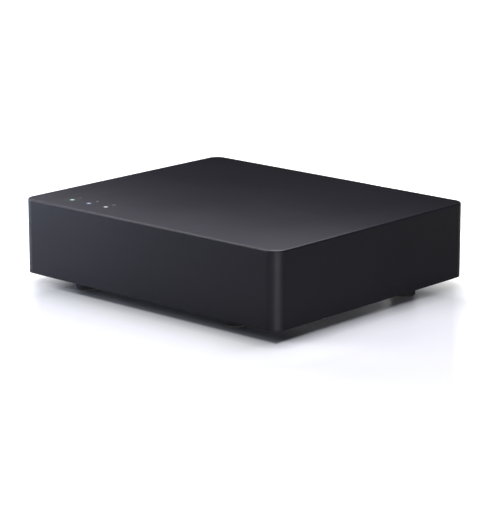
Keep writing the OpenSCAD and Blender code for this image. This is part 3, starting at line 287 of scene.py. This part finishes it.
def makeLightHalo():
    inputs = [("Centre", "Vector", black), ("Radius", "Float", 0.002)]
    tree, start, finish = newGroup("lightHalo", inputs, ["Mask"])
    reach = doVector(tree, "DISTANCE", objectPlace(tree), start["Centre"])
    share = doMath(tree, "DIVIDE", reach, start["Radius"])
    fade = doMath(tree, "EXPONENT", times(tree, times(tree, share, share), -1.0))
    tree.links.new(fade, finish["Mask"])
    return tree


trackShape = {
    "cells": (120.0, 120.0, 120.0),  # to a metre, each with tracks one way
    "band": (0.72, 0.78),
    "acrossFrom": 0.5,
    "filledFrom": 0.2,
    "padScale": 420.0,
    "padJitter": 0.6,
    "pad": (0.2, 0.14),
}


def makeBoardTracks(shape):
    tree, start, finish = newGroup("boardTracks", [("Scale", "Float", 700.0)], ["Track", "Pad"])
    place = objectPlace(tree)
    corner = doVector(tree, "FLOOR", doVector(tree, "MULTIPLY", place, shape["cells"]))
    draw = addNode(tree, "ShaderNodeTexWhiteNoise", {"Vector": corner}).outputs["Value"]
    along, across = [
        mapRange(tree, addNode(tree, "ShaderNodeTexWave", {"Vector": place, "Scale": start["Scale"]},
                               bands_direction=axis).outputs["Fac"], *shape["band"])
        for axis in ("X", "Y")
    ]
    choice = doMath(tree, "GREATER_THAN", draw, shape["acrossFrom"])
    track = addNode(tree, "ShaderNodeMix", {0: choice, 2: along, 3: across}, data_type="FLOAT").outputs[0]
    filled = doMath(tree, "GREATER_THAN", draw, shape["filledFrom"])
    dots = addNode(tree, "ShaderNodeTexVoronoi",
                   {"Vector": place, "Scale": shape["padScale"], "Randomness": shape["padJitter"]})
    tree.links.new(times(tree, track, filled), finish["Track"])
    tree.links.new(mapRange(tree, dots.outputs["Distance"], *shape["pad"]), finish["Pad"])
    return tree


mouldGrain = makeMouldGrain(grainShape)
softPatches = makeSoftPatches(patchShape)
edgeRub = makeEdgeRub(rubShape)
settledDust = makeSettledDust(dustShape)
brushedLines = makeBrushedLines(brushShape)
lightHalo = makeLightHalo()
boardTracks = makeBoardTracks(trackShape)
print("shared effects built")


# Finishes, with lengths in millimetres

def newFinish(name):
    material = bpy.data.materials.new(name)
    material.use_nodes = True
    tree = material.node_tree
    tree.nodes.clear()
    shader = addNode(tree, "ShaderNodeBsdfPrincipled")
    addNode(tree, "ShaderNodeOutputMaterial", {"Surface": shader.outputs[0]})
    return material, tree, shader.inputs


def layGrain(tree, look):
    return placeGroup(tree, mouldGrain, {"Scale": look["grainScale"]})


def layPatches(tree, look):
    return placeGroup(tree, softPatches, {"Scale": look["patchScale"]})["Mask"]


def layRub(tree, look):
    values = {"Radius": look["rubRadius"] * mm, "Breakup": look["rubBreakup"]}
    return placeGroup(tree, edgeRub, values)["Mask"]


def lightTop(node):
    low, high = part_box(node)
    return Vector(((low[0] + high[0]) / 2, (low[1] + high[1]) / 2, high[2]))


def layHalo(tree, node, radius):
    return placeGroup(tree, lightHalo, {"Centre": lightTop(node), "Radius": radius * mm})["Mask"]


def scaleTone(tone, factor, lift=0.0):
    return [min(1.0, value * factor + lift) for value in tone]


def setLook(tree, sockets, look, colour, roughMask, height):
    soft = addNode(tree, "ShaderNodeBevel", {"Radius": look["edge"] * mm}, samples=bevelSamples)
    normal = addNode(tree, "ShaderNodeBump", {
        "Height": height, "Distance": look["grainDepth"] * mm, "Strength": look["grainStrength"],
        "Normal": soft.outputs[0],
    })
    tree.links.new(colour, sockets["Base Color"])
    tree.links.new(mapRange(tree, roughMask, 0.0, 1.0, *look["roughness"]), sockets["Roughness"])
    tree.links.new(normal.outputs[0], sockets["Normal"])
    sockets["Specular IOR Level"].default_value = look["specular"]
    sockets["Metallic"].default_value = look.get("metallic", 0.0)


def setGlow(tree, sockets, glow):
    tree.links.new(glow, sockets["Emission Color"])
    sockets["Emission Strength"].default_value = 1.0


coverLook = {
    "tone": (0.0040, 0.0035, 0.0066),
    "worn": (0.016, 0.016, 0.017),
    "rubShare": 0.5,
    "rubRadius": 0.5,
    "rubBreakup": 420.0,
    "dust": (0.05, 0.05, 0.052),
    "dustShare": 0.10,
    "dustScale": 1500.0,
    "patchScale": 28.0,
    "roughness": (0.39, 0.43),
    "grainScale": 5200.0,
    "grainDepth": 0.01,
    "grainStrength": 0.25,
    "edge": 0.12,
    "specular": 0.13,
    "placedSheenSpecular": 0.32,  # on the near corner: stronger reflection placed for a painted highlight
    "leastSpecular": 0.03,
    "cornerReach": (5.2, 1.4),  # in from the sides
    "slantFade": 4.0,  # takes the corner's gain off halfway round the top edge
    "frontLean": -1.9,  # the front top edge: stronger reflection placed for a painted highlight
    "rightLean": (-0.95, 2.0),  # the right one: weaker reflection near the front, placed to keep a highlight off it
    # Painted glow: the cover itself glows in each light's colour around the light
    "paintedGlowRadius": 1.9,
    "paintedGlowTones": {
        "light_pipe_power": (0.010, 0.075, 0.022),
        "light_pipe_network": (0.010, 0.022, 0.060),
        "light_pipe_status": (0.012, 0.012, 0.013),
    },
}


# Painted sheen: reflection strength placed by position, raised on the near corner and the front top edge,
# lowered along the right top edge near the front
def placedSheenMask(tree, look):
    place = splitAxes(tree, objectPlace(tree))
    turn = splitAxes(tree, surfaceNormal(tree))
    sides = []
    for axis, face, inward in (("X", coverHigh[0], -1), ("Y", coverLow[1], 1)):
        span = [face + inward * reach * mm for reach in look["cornerReach"]]
        sides.append(mapRange(tree, place[axis], *span))
    steep = times(tree, turn["Z"], turn["Z"])
    slant = times(tree, minus(tree, steep, times(tree, steep, steep)), look["slantFade"])
    corner = times(tree, times(tree, *sides), minus(tree, 1.0, slant))
    rightLean = mapRange(tree, place["Y"], coverLow[1], coverHigh[1], *look["rightLean"])
    lean = plus(tree, times(tree, turn["X"], rightLean), times(tree, turn["Y"], look["frontLean"]))
    return plus(tree, corner, times(tree, lean, turn["Z"]))


def makeCoverPlastic(name, look):
    material, tree, sockets = newFinish(name)
    dust = placeGroup(tree, settledDust, {"Scale": look["dustScale"]})["Mask"]
    colour = mixColour(tree, times(tree, layRub(tree, look), look["rubShare"]), look["tone"], look["worn"])
    colour = mixColour(tree, times(tree, dust, look["dustShare"]), colour, look["dust"])
    setLook(tree, sockets, look, colour, layPatches(tree, look), layGrain(tree, look)["Height"])
    gain = times(tree, placedSheenMask(tree, look), look["placedSheenSpecular"] - look["specular"])
    shine = doMath(tree, "MAXIMUM", plus(tree, gain, look["specular"]), look["leastSpecular"])
    tree.links.new(shine, sockets["Specular IOR Level"])
    glow = None
    # Painted glow of each light on the cover around it
    for node, tone in look["paintedGlowTones"].items():
        spot = mixColour(tree, layHalo(tree, node, look["paintedGlowRadius"]), black, tone)
        glow = spot if glow is None else mixColour(tree, 1.0, glow, spot, "ADD")
    setGlow(tree, sockets, glow)
    return material


paintFinish = {
    "lighter": 1.35,
    "speckleShare": 0.6,
    "rubShare": 0.6,
    "rubRadius": 0.35,
    "rubBreakup": 700.0,
    "patchScale": 60.0,
    "roughness": (0.5, 0.62),
    "grainDepth": 0.03,
    "grainStrength": 0.5,
    "edge": 0.12,
    "specular": 0.4,
}
paintLooks = {
    "base_paint": {"tone": (0.020, 0.020, 0.021), "worn": (0.09, 0.09, 0.092), "grainScale": 2600.0},
    "panel_paint": {"tone": (0.013, 0.013, 0.014), "worn": (0.07, 0.07, 0.072), "grainScale": 3000.0},
}


def makePowderCoat(name, look):
    material, tree, sockets = newFinish(name)
    grain = layGrain(tree, look)
    lighter = scaleTone(look["tone"], look["lighter"])
    colour = mixColour(tree, times(tree, grain["Speckle"], look["speckleShare"]), look["tone"], lighter)
    colour = mixColour(tree, times(tree, layRub(tree, look), look["rubShare"]), colour, look["worn"])
    setLook(tree, sockets, look, colour, layPatches(tree, look), grain["Height"])
    return material


rubberFinish = {
    "scuffed": 2.2,
    "rubShare": 0.5,
    "rubRadius": 0.4,
    "rubBreakup": 1200.0,
    "patchScale": 220.0,
    "grainDepth": 0.04,
    "grainStrength": 0.5,
    "edge": 0.2,
    "specular": 0.35,
}
rubberLooks = {
    "foot_rubber": {"tone": (0.012, 0.012, 0.0125), "grainScale": 1800.0, "roughness": (0.72, 0.85)},
    "cable_jacket": {"tone": (0.018, 0.018, 0.019), "grainScale": 3000.0, "roughness": (0.5, 0.62)},
    "pad_silicone": {"tone": (0.20, 0.33, 0.42), "grainScale": 2200.0, "roughness": (0.6, 0.75)},
}


def makeRubber(name, look):
    material, tree, sockets = newFinish(name)
    scuffed = scaleTone(look["tone"], look["scuffed"])
    colour = mixColour(tree, times(tree, layRub(tree, look), look["rubShare"]), look["tone"], scuffed)
    setLook(tree, sockets, look, colour, layPatches(tree, look), layGrain(tree, look)["Height"])
    return material


resinFinish = {
    "paler": (1.5, 0.004),
    "speckleShare": 0.25,
    "rubShare": 0.55,
    "rubRadius": 0.2,
    "rubBreakup": 1500.0,
    "patchScale": 240.0,
    "grainScale": 4200.0,
    "grainDepth": 0.01,
    "grainStrength": 0.3,
    "edge": 0.12,
    "specular": 0.5,
}
resinLooks = {
    "socket_plastic": {"tone": (0.011, 0.011, 0.012), "roughness": (0.30, 0.42)},
    "button_plastic": {"tone": (0.085, 0.086, 0.09), "roughness": (0.36, 0.46)},
    "shutter_plastic": {"tone": (0.030, 0.030, 0.032), "roughness": (0.40, 0.50)},
    "chip_resin": {"tone": (0.018, 0.018, 0.019), "grainScale": 6000.0, "roughness": (0.55, 0.68)},
    "ferrite": {"tone": (0.055, 0.055, 0.058), "grainScale": 3200.0, "roughness": (0.55, 0.70)},
    "tongue_plastic": {"tone": (0.72, 0.72, 0.69), "roughness": (0.35, 0.45)},
    "insulator_plastic": {"tone": (0.60, 0.17, 0.025), "roughness": (0.35, 0.46)},
    "window_plastic": {"tone": (0.42, 0.47, 0.28), "roughness": (0.16, 0.24)},
}


def makeResin(name, look):
    material, tree, sockets = newFinish(name)
    grain = layGrain(tree, look)
    paler = scaleTone(look["tone"], *look["paler"])
    colour = mixColour(tree, times(tree, layRub(tree, look), look["rubShare"]), look["tone"], paler)
    colour = mixColour(tree, times(tree, grain["Speckle"], look["speckleShare"]), colour, paler)
    setLook(tree, sockets, look, colour, layPatches(tree, look), grain["Height"])
    return material


metalFinish = {
    "dull": 0.78,
    "dullShare": 0.5,
    "bright": 1.2,
    "rubShare": 0.7,
    "rubRadius": 0.18,
    "rubBreakup": 1800.0,
    "patchScale": 300.0,
    "grainDepth": 0.004,
    "grainStrength": 0.35,
    "edge": 0.1,
    "specular": 0.5,
    "metallic": 1.0,
}
metalLooks = {  # the brushed lines run along the axis with the least stretch
    "screw_steel": {
        "tone": (0.20, 0.20, 0.21), "stretch": (900.0, 900.0, 90.0), "roughness": (0.30, 0.45),
    },
    "can_aluminium": {
        "tone": (0.72, 0.72, 0.74), "stretch": (2600.0, 2600.0, 90.0), "roughness": (0.22, 0.34),
    },
    "plated_steel": {
        "tone": (0.62, 0.62, 0.64), "stretch": (2400.0, 90.0, 2400.0), "roughness": (0.24, 0.38),
    },
    "standoff_brass": {
        "tone": (0.70, 0.50, 0.22), "stretch": (400.0, 400.0, 3200.0), "roughness": (0.24, 0.36),
    },
    "sink_aluminium": {
        "tone": (0.035, 0.035, 0.038), "stretch": (2600.0, 90.0, 2600.0), "roughness": (0.40, 0.52),
    },
    "antenna_copper": {
        "tone": (0.72, 0.48, 0.22), "stretch": (2600.0, 70.0, 2600.0), "roughness": (0.26, 0.38),
    },
    "contact_gold": {
        "tone": (0.83, 0.60, 0.24), "stretch": (500.0, 3400.0, 500.0), "roughness": (0.18, 0.30),
    },
    "spring_steel": {
        "tone": (0.55, 0.55, 0.57), "stretch": (2600.0, 500.0, 500.0), "roughness": (0.22, 0.32),
    },
}


def makeMetal(name, look):
    material, tree, sockets = newFinish(name)
    line = placeGroup(tree, brushedLines, {"Stretch": look["stretch"]})["Line"]
    dull, bright = scaleTone(look["tone"], look["dull"]), scaleTone(look["tone"], look["bright"])
    colour = mixColour(tree, times(tree, layPatches(tree, look), look["dullShare"]), look["tone"], dull)
    colour = mixColour(tree, times(tree, layRub(tree, look), look["rubShare"]), colour, bright)
    setLook(tree, sockets, look, colour, line, line)
    return material


laminateFinish = {
    "trackScale": 620.0,
    "patchScale": 90.0,
    "roughness": (0.26, 0.38),
    "grainDepth": 0.03,  # of the tracks
    "grainStrength": 0.6,
    "edge": 0.1,
    "specular": 0.5,
}
laminateLooks = {
    "board_laminate": {
        "mask": (0.010, 0.075, 0.030), "track": (0.018, 0.12, 0.045), "pad": (0.55, 0.50, 0.36),
    },
    "module_laminate": {
        "mask": (0.008, 0.030, 0.095), "track": (0.014, 0.050, 0.15), "pad": (0.60, 0.47, 0.22),
    },
}


def makeLaminate(name, look):
    material, tree, sockets = newFinish(name)
    copper = placeGroup(tree, boardTracks, {"Scale": look["trackScale"]})
    colour = mixColour(tree, copper["Track"], look["mask"], look["track"])
    colour = mixColour(tree, copper["Pad"], colour, look["pad"])
    setLook(tree, sockets, look, colour, layPatches(tree, look), copper["Track"])
    return material


lensFinish = {
    "coreRadius": 0.85,
    "litRadius": 4.0,  # only the end of the pipe shines
    "resin": 0.3,
    "speckleShare": 0.4,
    "patchScale": 500.0,
    "roughness": (0.38, 0.46),
    "grainScale": 5000.0,
    "grainDepth": 0.006,
    "grainStrength": 0.3,
    "edge": 0.1,
    "specular": 0.15,
}
lensLooks = {
    "light_green": {"node": "light_pipe_power", "rim": (0.08, 0.18, 0.13), "heart": (0.82, 0.82, 0.82)},
    "light_blue": {"node": "light_pipe_network", "rim": (0.07, 0.10, 0.19), "heart": (0.55, 0.56, 0.56)},
    "light_white": {"node": "light_pipe_status", "rim": (0.17, 0.17, 0.18), "heart": (0.73, 0.73, 0.77)},
}


def makeLens(name, look):
    material, tree, sockets = newFinish(name)
    grain = layGrain(tree, look)
    resin = scaleTone(look["rim"], look["resin"])
    colour = mixColour(tree, times(tree, grain["Speckle"], look["speckleShare"]), resin, look["rim"])
    setLook(tree, sockets, look, colour, layPatches(tree, look), grain["Height"])
    core, lit = [layHalo(tree, look["node"], look[radius]) for radius in ("coreRadius", "litRadius")]
    setGlow(tree, sockets, mixColour(tree, lit, black, mixColour(tree, core, look["rim"], look["heart"])))
    return material


finishes = {"cover_plastic": makeCoverPlastic("cover_plastic", coverLook)}
families = (
    (makePowderCoat, paintFinish, paintLooks),
    (makeRubber, rubberFinish, rubberLooks),
    (makeResin, resinFinish, resinLooks),
    (makeMetal, metalFinish, metalLooks),
    (makeLaminate, laminateFinish, laminateLooks),
    (makeLens, lensFinish, lensLooks),
)
for make, shared, looks in families:
    for slotName, look in looks.items():
        finishes[slotName] = make(slotName + "_finish", {**shared, **look})
for part in frame["record"]["subparts"]:
    for place in nodes[part["node"]].material_slots:
        place.material = finishes[part["material_slot"]]
print("finishes made:", len(finishes))


# Pieces, with lengths in millimetres

def addPiece(name, mesh, slotName, material=None):
    piece = bpy.data.objects.new(name, mesh)
    scene.collection.objects.link(piece)
    mesh.materials.append(material or finishes[slotName])
    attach(piece, "chassis")
    return piece


lensShape = {
    "pipeRadius": 1.0,
    "collarRadius": 1.8,
    "collarTop": 7.2,  # below the top of the pipe
    "collarHeight": 1.0,
    "collarEdge": 0.2,
    "domeHeight": 0.06,
    "domeSteps": 8,
    "sides": 48,
    "weld": 0.001,
    "sharpFrom": 35,  # degrees
}


def lensProfile(low, high, shape):
    radius, collar, edge = shape["pipeRadius"] * mm, shape["collarRadius"] * mm, shape["collarEdge"] * mm
    shelf = high - shape["collarTop"] * mm
    underside = shelf - shape["collarHeight"] * mm
    profile = [
        (0.0, low), (radius - edge, low), (radius, low + edge), (radius, underside),
        (collar - edge, underside), (collar, underside + edge),
        (collar, shelf - edge), (collar - edge, shelf), (radius, shelf), (radius, high),
    ]
    for step in range(1, shape["domeSteps"] + 1):
        turn = math.radians(90 * step / shape["domeSteps"])
        profile.append((radius * math.cos(turn), high + shape["domeHeight"] * mm * math.sin(turn)))
    return profile


def turnProfile(name, profile, centre, shape):
    form = bmesh.new()
    ring = [form.verts.new((centre[0] + reach, centre[1], height)) for reach, height in profile]
    seam = [form.edges.new(pair) for pair in zip(ring, ring[1:])]
    bmesh.ops.spin(form, geom=ring + seam, cent=(centre[0], centre[1], 0.0), axis=(0.0, 0.0, 1.0),
                   angle=math.tau, steps=shape["sides"], use_merge=True)
    bmesh.ops.remove_doubles(form, verts=form.verts, dist=shape["weld"] * mm)
    bmesh.ops.recalc_face_normals(form, faces=form.faces)
    mesh = bpy.data.meshes.new(name)
    form.to_mesh(mesh)
    form.free()
    mesh.shade_smooth()
    mesh.set_sharp_from_angle(angle=math.radians(shape["sharpFrom"]))
    return mesh


lensSlots = {
    "light_pipe_power": ("powerLightLens", "light_green"),
    "light_pipe_network": ("networkLightLens", "light_blue"),
    "light_pipe_status": ("statusLightLens", "light_white"),
}
for node, (name, slotName) in lensSlots.items():
    low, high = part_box(node)
    profile = lensProfile(low[2], high[2], lensShape)
    lens = addPiece(name, turnProfile(name, profile, lightTop(node), lensShape), slotName)
    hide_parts(node)
print("light lenses turned")


inkLook = {
    "tone": (0.12, 0.12, 0.128),
    "thin": 0.7,
    "roughness": (0.5, 0.62),
    "grainScale": 9000.0,
    "grainDepth": 0.004,
    "grainStrength": 0.3,
    "edge": 0.02,
    "specular": 0.3,
}
markShape = {
    "behindLight": 4.7,
    "lift": 0.012,
    "stroke": 0.2,
    "arcSteps": 20,
    "ringRadius": 0.75,
    "powerArc": (125, 415),  # degrees
    "powerStem": (0.25, 1.0),
    "fanRadii": (0.5, 0.95, 1.4),
    "fanArc": (45, 135),
    "fanDrop": 0.7,
    "statusDash": 0.25,
}


def makeInk(name, look):
    material, tree, sockets = newFinish(name)
    grain = layGrain(tree, look)
    colour = mixColour(tree, grain["Speckle"], look["tone"], scaleTone(look["tone"], look["thin"]))
    setLook(tree, sockets, look, colour, grain["Speckle"], grain["Height"])
    return material


def arcPoints(radius, startAngle, endAngle, steps):
    turns = [math.radians(startAngle + (endAngle - startAngle) * k / steps) for k in range(steps + 1)]
    return [(radius * math.cos(turn), radius * math.sin(turn)) for turn in turns]


def addStroke(form, points, width, origin, closed=False):
    rails = []
    count = len(points)
    for k, (x, y) in enumerate(points):
        before = points[(k - 1) % count if closed else max(k - 1, 0)]
        after = points[(k + 1) % count if closed else min(k + 1, count - 1)]
        along = Vector((after[0] - before[0], after[1] - before[1]))
        along.normalize()
        side = Vector((-along.y, along.x)) * width / 2
        edges = [Vector((x + s * side.x, y + s * side.y, 0.0)) for s in (1, -1)]
        rails.append([form.verts.new(origin + edge * mm) for edge in edges])
    pairs = list(zip(rails, rails[1:])) + ([(rails[-1], rails[0])] if closed else [])
    for (leftA, rightA), (leftB, rightB) in pairs:
        form.faces.new((leftA, rightA, rightB, leftB))


def markStrokes(kind, look):
    steps, radius = look["arcSteps"], look["ringRadius"]
    if kind == "power":
        stem = [(0.0, height) for height in look["powerStem"]]
        return [(arcPoints(radius, *look["powerArc"], steps), False), (stem, False)]
    if kind == "network":
        fans = [arcPoints(reach, *look["fanArc"], steps) for reach in look["fanRadii"]]
        return [([(x, y - look["fanDrop"]) for x, y in points], False) for points in fans]
    dash = [(side * look["statusDash"], 0.0) for side in (-1, 1)]
    return [(arcPoints(radius, 0, 360 - 360 / steps, steps - 1), True), (dash, False)]


def makeMark(name, kind, node, look):
    origin = lightTop(node) + Vector((0.0, look["behindLight"], look["lift"])) * mm
    form = bmesh.new()
    for points, closed in markStrokes(kind, look):
        addStroke(form, points, look["stroke"], origin, closed)
    raised = bmesh.ops.extrude_face_region(form, geom=list(form.faces))
    bottom = [item for item in raised["geom"] if isinstance(item, bmesh.types.BMVert)]
    bmesh.ops.translate(form, verts=bottom, vec=(0.0, 0.0, -look["lift"] * mm))
    bmesh.ops.recalc_face_normals(form, faces=form.faces)
    mesh = bpy.data.meshes.new(name)
    form.to_mesh(mesh)
    form.free()
    addPiece(name, mesh, "tongue_plastic", ink)


ink = makeInk("mark_ink", inkLook)
for name, kind, node in (
    ("powerMark", "power", "light_pipe_power"),
    ("networkMark", "network", "light_pipe_network"),
    ("statusMark", "status", "light_pipe_status"),
):
    makeMark(name, kind, node, markShape)
print("printed marks laid")


# Stage: a glossy pale floor and soft boxes, in metres

floorLook = {
    "half": 6.0,
    "tone": (0.76, 0.77, 0.79),
    "roughness": 0.24,
    # Painted shadow: the floor colour darkened under the case, between the feet
    "underShade": 0.78,
    "underTone": (0.0, 0.012, 0.03),
    "underEdge": (0.0016, -0.0004),
    "underLeft": (-0.060, -0.038),
    "underRear": (0.038, 0.030),
    "underFront": (-0.040, -0.056, 0.35, 1.0),
    # Painted light: brighter around the case, most by the near corner
    "nearTopUp": 0.24,
    "nearReach": (0.001, 0.010),
    "nearPeak": -0.015,
    "nearWeight": (1.45, 9.0, 0.55),  # at the peak, its fall to a metre, the least
    "farTopUp": 0.60,
    "farReach": (0.016, 0.40),
    # Painted shade: the front fades more slowly
    "dip": 0.18,
    "dipReach": (0.014, 0.032),
    "dipEnd": (0.095, 0.050),
    "dipFront": (0.010, -0.070),
    # Painted light: white behind, to the left and far away, reaching in under the case's left and rear ends
    "clearTopUp": 0.66,
    "clearReach": (-0.022, 0.005),
    "clearAway": 0.5,
    # Painted light: white past the case's two ends, so the shade around the case stops there
    "across": (0.741, 0.671, 0.0),
    "toward": (0.671, -0.741, 0.0),
    "endFan": 0.99,  # the shaded part narrows toward the front
    "endMiddle": -0.0015,
    "endReach": (0.0872, 0.0970),
    "endTopUp": 0.30,
}
airTone = (0.06, 0.06, 0.063)

# A level of 1 is as bright as a white card in plain light
softBoxes = {
    "overheadBox": {
        "at": (-0.34, 0.28, 1.0), "aim": (-0.20, 0.14, 0.0), "size": (1.4, 1.5), "level": 1.1,
    },
    "backStrip": {
        "at": (-0.16, 0.030, 0.190), "aim": (-0.16, -0.158, 0.122), "size": (0.30, 0.15), "level": 3.6,
        "tint": (0.98, 0.96, 1.10),
    },
    "cornerStrip": {
        "at": (0.04, 0.030, 0.190), "aim": (0.04, -0.158, 0.122), "size": (0.10, 0.15), "level": 11.7,
        "tint": (0.98, 0.96, 1.10),
    },
    "leftBox": {
        "at": (-0.205, -0.142, 0.045), "aim": (-0.05, -0.06, 0.02), "size": (0.15, 0.07), "level": 7.9,
        "tint": (0.84, 0.93, 1.18),
    },
    "keyBox": {
        "at": (-0.54, -0.46, 0.48), "aim": (0.0, -0.03, 0.03), "size": (0.42, 0.42), "level": 6.2,
    },
    "frontBox": {
        "at": (1.26, -0.64, 0.13), "aim": (0.0, 0.0, 0.02), "size": (1.3, 0.12), "level": 15.0,
        "tint": (0.98, 0.96, 1.06),
    },
    "rearBox": {
        "at": (-0.07, 0.32, 0.021), "aim": (-0.07, 0.06, 0.021), "size": (0.26, 0.024), "level": 14.0,
    },
    "underBox": {  # shines up through the floor, on the base
        "at": (0.0, 0.0, -0.30), "aim": (0.0, 0.0, 0.0), "size": (0.12, 0.10), "level": 14.0,
    },
}


def pastSides(tree, place):
    past = []
    for axis, low, high in zip(("X", "Y"), coverLow, coverHigh):
        past.append(minus(tree, gapTo(tree, place[axis], (low + high) / 2), (high - low) / 2))
    return past


def caseDistance(tree, past):
    spans = [doMath(tree, "MAXIMUM", side, 0.0) for side in past]
    return doMath(tree, "SQRT", plus(tree, *[times(tree, span, span) for span in spans]))


# Painted shadow in the floor colour under the case
def shadeUnderCase(tree, place, past, look):
    mask = mapRange(tree, doMath(tree, "MAXIMUM", *past), *look["underEdge"], 0.0, look["underShade"])
    for axis, span in (("X", "underLeft"), ("Y", "underRear"), ("Y", "underFront")):
        mask = times(tree, mask, mapRange(tree, place[axis], *look[span]))
    return mask


def nearTopUp(tree, across, reach, look):
    peak, fall, least = look["nearWeight"]
    away = gapTo(tree, across, look["nearPeak"])
    weight = doMath(tree, "MAXIMUM", minus(tree, peak, times(tree, away, fall)), least)
    return times(tree, mapRange(tree, reach, *look["nearReach"], 0.0, look["nearTopUp"]), weight)


def frontDip(tree, place, reach, look):
    dip = mapRange(tree, reach, *look["dipReach"], 0.0, look["dip"])
    dip = times(tree, dip, mapRange(tree, reach, *look["dipEnd"]))
    return times(tree, dip, mapRange(tree, place["Y"], *look["dipFront"]))


def clearTopUp(tree, place, reach, look):
    left, rear = minus(tree, coverLow[0], place["X"]), minus(tree, place["Y"], coverHigh[1])
    beyond = doMath(tree, "MAXIMUM", left, rear)
    beyond = doMath(tree, "MAXIMUM", beyond, minus(tree, reach, look["clearAway"]))
    return mapRange(tree, beyond, *look["clearReach"], 0.0, look["clearTopUp"])


def endTopUp(tree, across, toward, look):
    fan = doMath(tree, "DIVIDE", across, minus(tree, 1.0, times(tree, toward, look["endFan"])))
    return mapRange(tree, gapTo(tree, fan, look["endMiddle"]), *look["endReach"], 0.0, look["endTopUp"])


# Painted light and shade on the floor, placed by position around the case
def floorTopUp(tree, position, place, reach, path, look):
    across, toward = [doVector(tree, "DOT_PRODUCT", position, look[way]) for way in ("across", "toward")]
    around = nearTopUp(tree, across, reach, look)
    around = plus(tree, around, mapRange(tree, reach, *look["farReach"], 0.0, look["farTopUp"]))
    seen = doMath(tree, "MAXIMUM", path["Is Camera Ray"], path["Is Glossy Ray"])
    seen = doMath(tree, "MAXIMUM", seen, path["Is Transmission Ray"])
    beyond = plus(tree, clearTopUp(tree, place, reach, look), endTopUp(tree, across, toward, look))
    change = minus(tree, beyond, frontDip(tree, place, reach, look))
    return plus(tree, times(tree, around, seen), times(tree, change, path["Is Camera Ray"]))


def makeFloor(look):
    half = look["half"]
    corners = [(-half, -half, 0), (half, -half, 0), (half, half, 0), (-half, half, 0)]
    mesh = bpy.data.meshes.new("floor")
    mesh.from_pydata(corners, [], [(0, 1, 2, 3)])
    floor = bpy.data.objects.new("floor", mesh)
    scene.collection.objects.link(floor)
    material = bpy.data.materials.new("floor_white")
    material.use_nodes = True
    tree = material.node_tree
    tree.nodes.clear()
    geometry = addNode(tree, "ShaderNodeNewGeometry").outputs
    path = addNode(tree, "ShaderNodeLightPath").outputs
    place = splitAxes(tree, geometry["Position"])
    past = pastSides(tree, place)
    tone = mixColour(tree, shadeUnderCase(tree, place, past, look), look["tone"], look["underTone"])
    surface = addNode(tree, "ShaderNodeBsdfPrincipled", {"Base Color": tone, "Roughness": look["roughness"]})
    topUp = floorTopUp(tree, geometry["Position"], place, caseDistance(tree, past), path, look)
    lift = addNode(tree, "ShaderNodeEmission", {"Strength": topUp})
    both = addNode(tree, "ShaderNodeAddShader", {0: surface.outputs[0], 1: lift.outputs[0]})
    hidden = addNode(tree, "ShaderNodeBsdfTransparent")
    passed = doMath(tree, "MAXIMUM", geometry["Backfacing"], path["Is Shadow Ray"])
    sided = addNode(tree, "ShaderNodeMixShader", {0: passed, 1: both.outputs[0], 2: hidden.outputs[0]})
    addNode(tree, "ShaderNodeOutputMaterial", {"Surface": sided.outputs[0]})
    mesh.materials.append(material)


def hangSoftBox(name, box):
    lamp = bpy.data.lights.new(name, "AREA")
    lamp.shape = "RECTANGLE"
    lamp.size, lamp.size_y = box["size"]
    away = Vector(box["at"]) - Vector(box["aim"])
    lamp.energy = box["level"] * math.pi * lamp.size * lamp.size_y
    lamp.color = box.get("tint", white)
    holder = bpy.data.objects.new(name, lamp)
    holder.location = box["at"]
    holder.rotation_euler = away.to_track_quat("Z", "Y").to_euler()
    holder.visible_camera = False
    scene.collection.objects.link(holder)


def lightWorld(tone):
    world = bpy.data.worlds.new("studioAir")
    world.use_nodes = True
    tree = world.node_tree
    seen = addNode(tree, "ShaderNodeLightPath").outputs["Is Camera Ray"]
    air = mixColour(tree, seen, tone, white)
    tree.links.new(air, tree.nodes["Background"].inputs["Color"])
    scene.world = world


makeFloor(floorLook)
for name, box in softBoxes.items():
    hangSoftBox(name, box)
lightWorld(airTone)
print("stage lit")
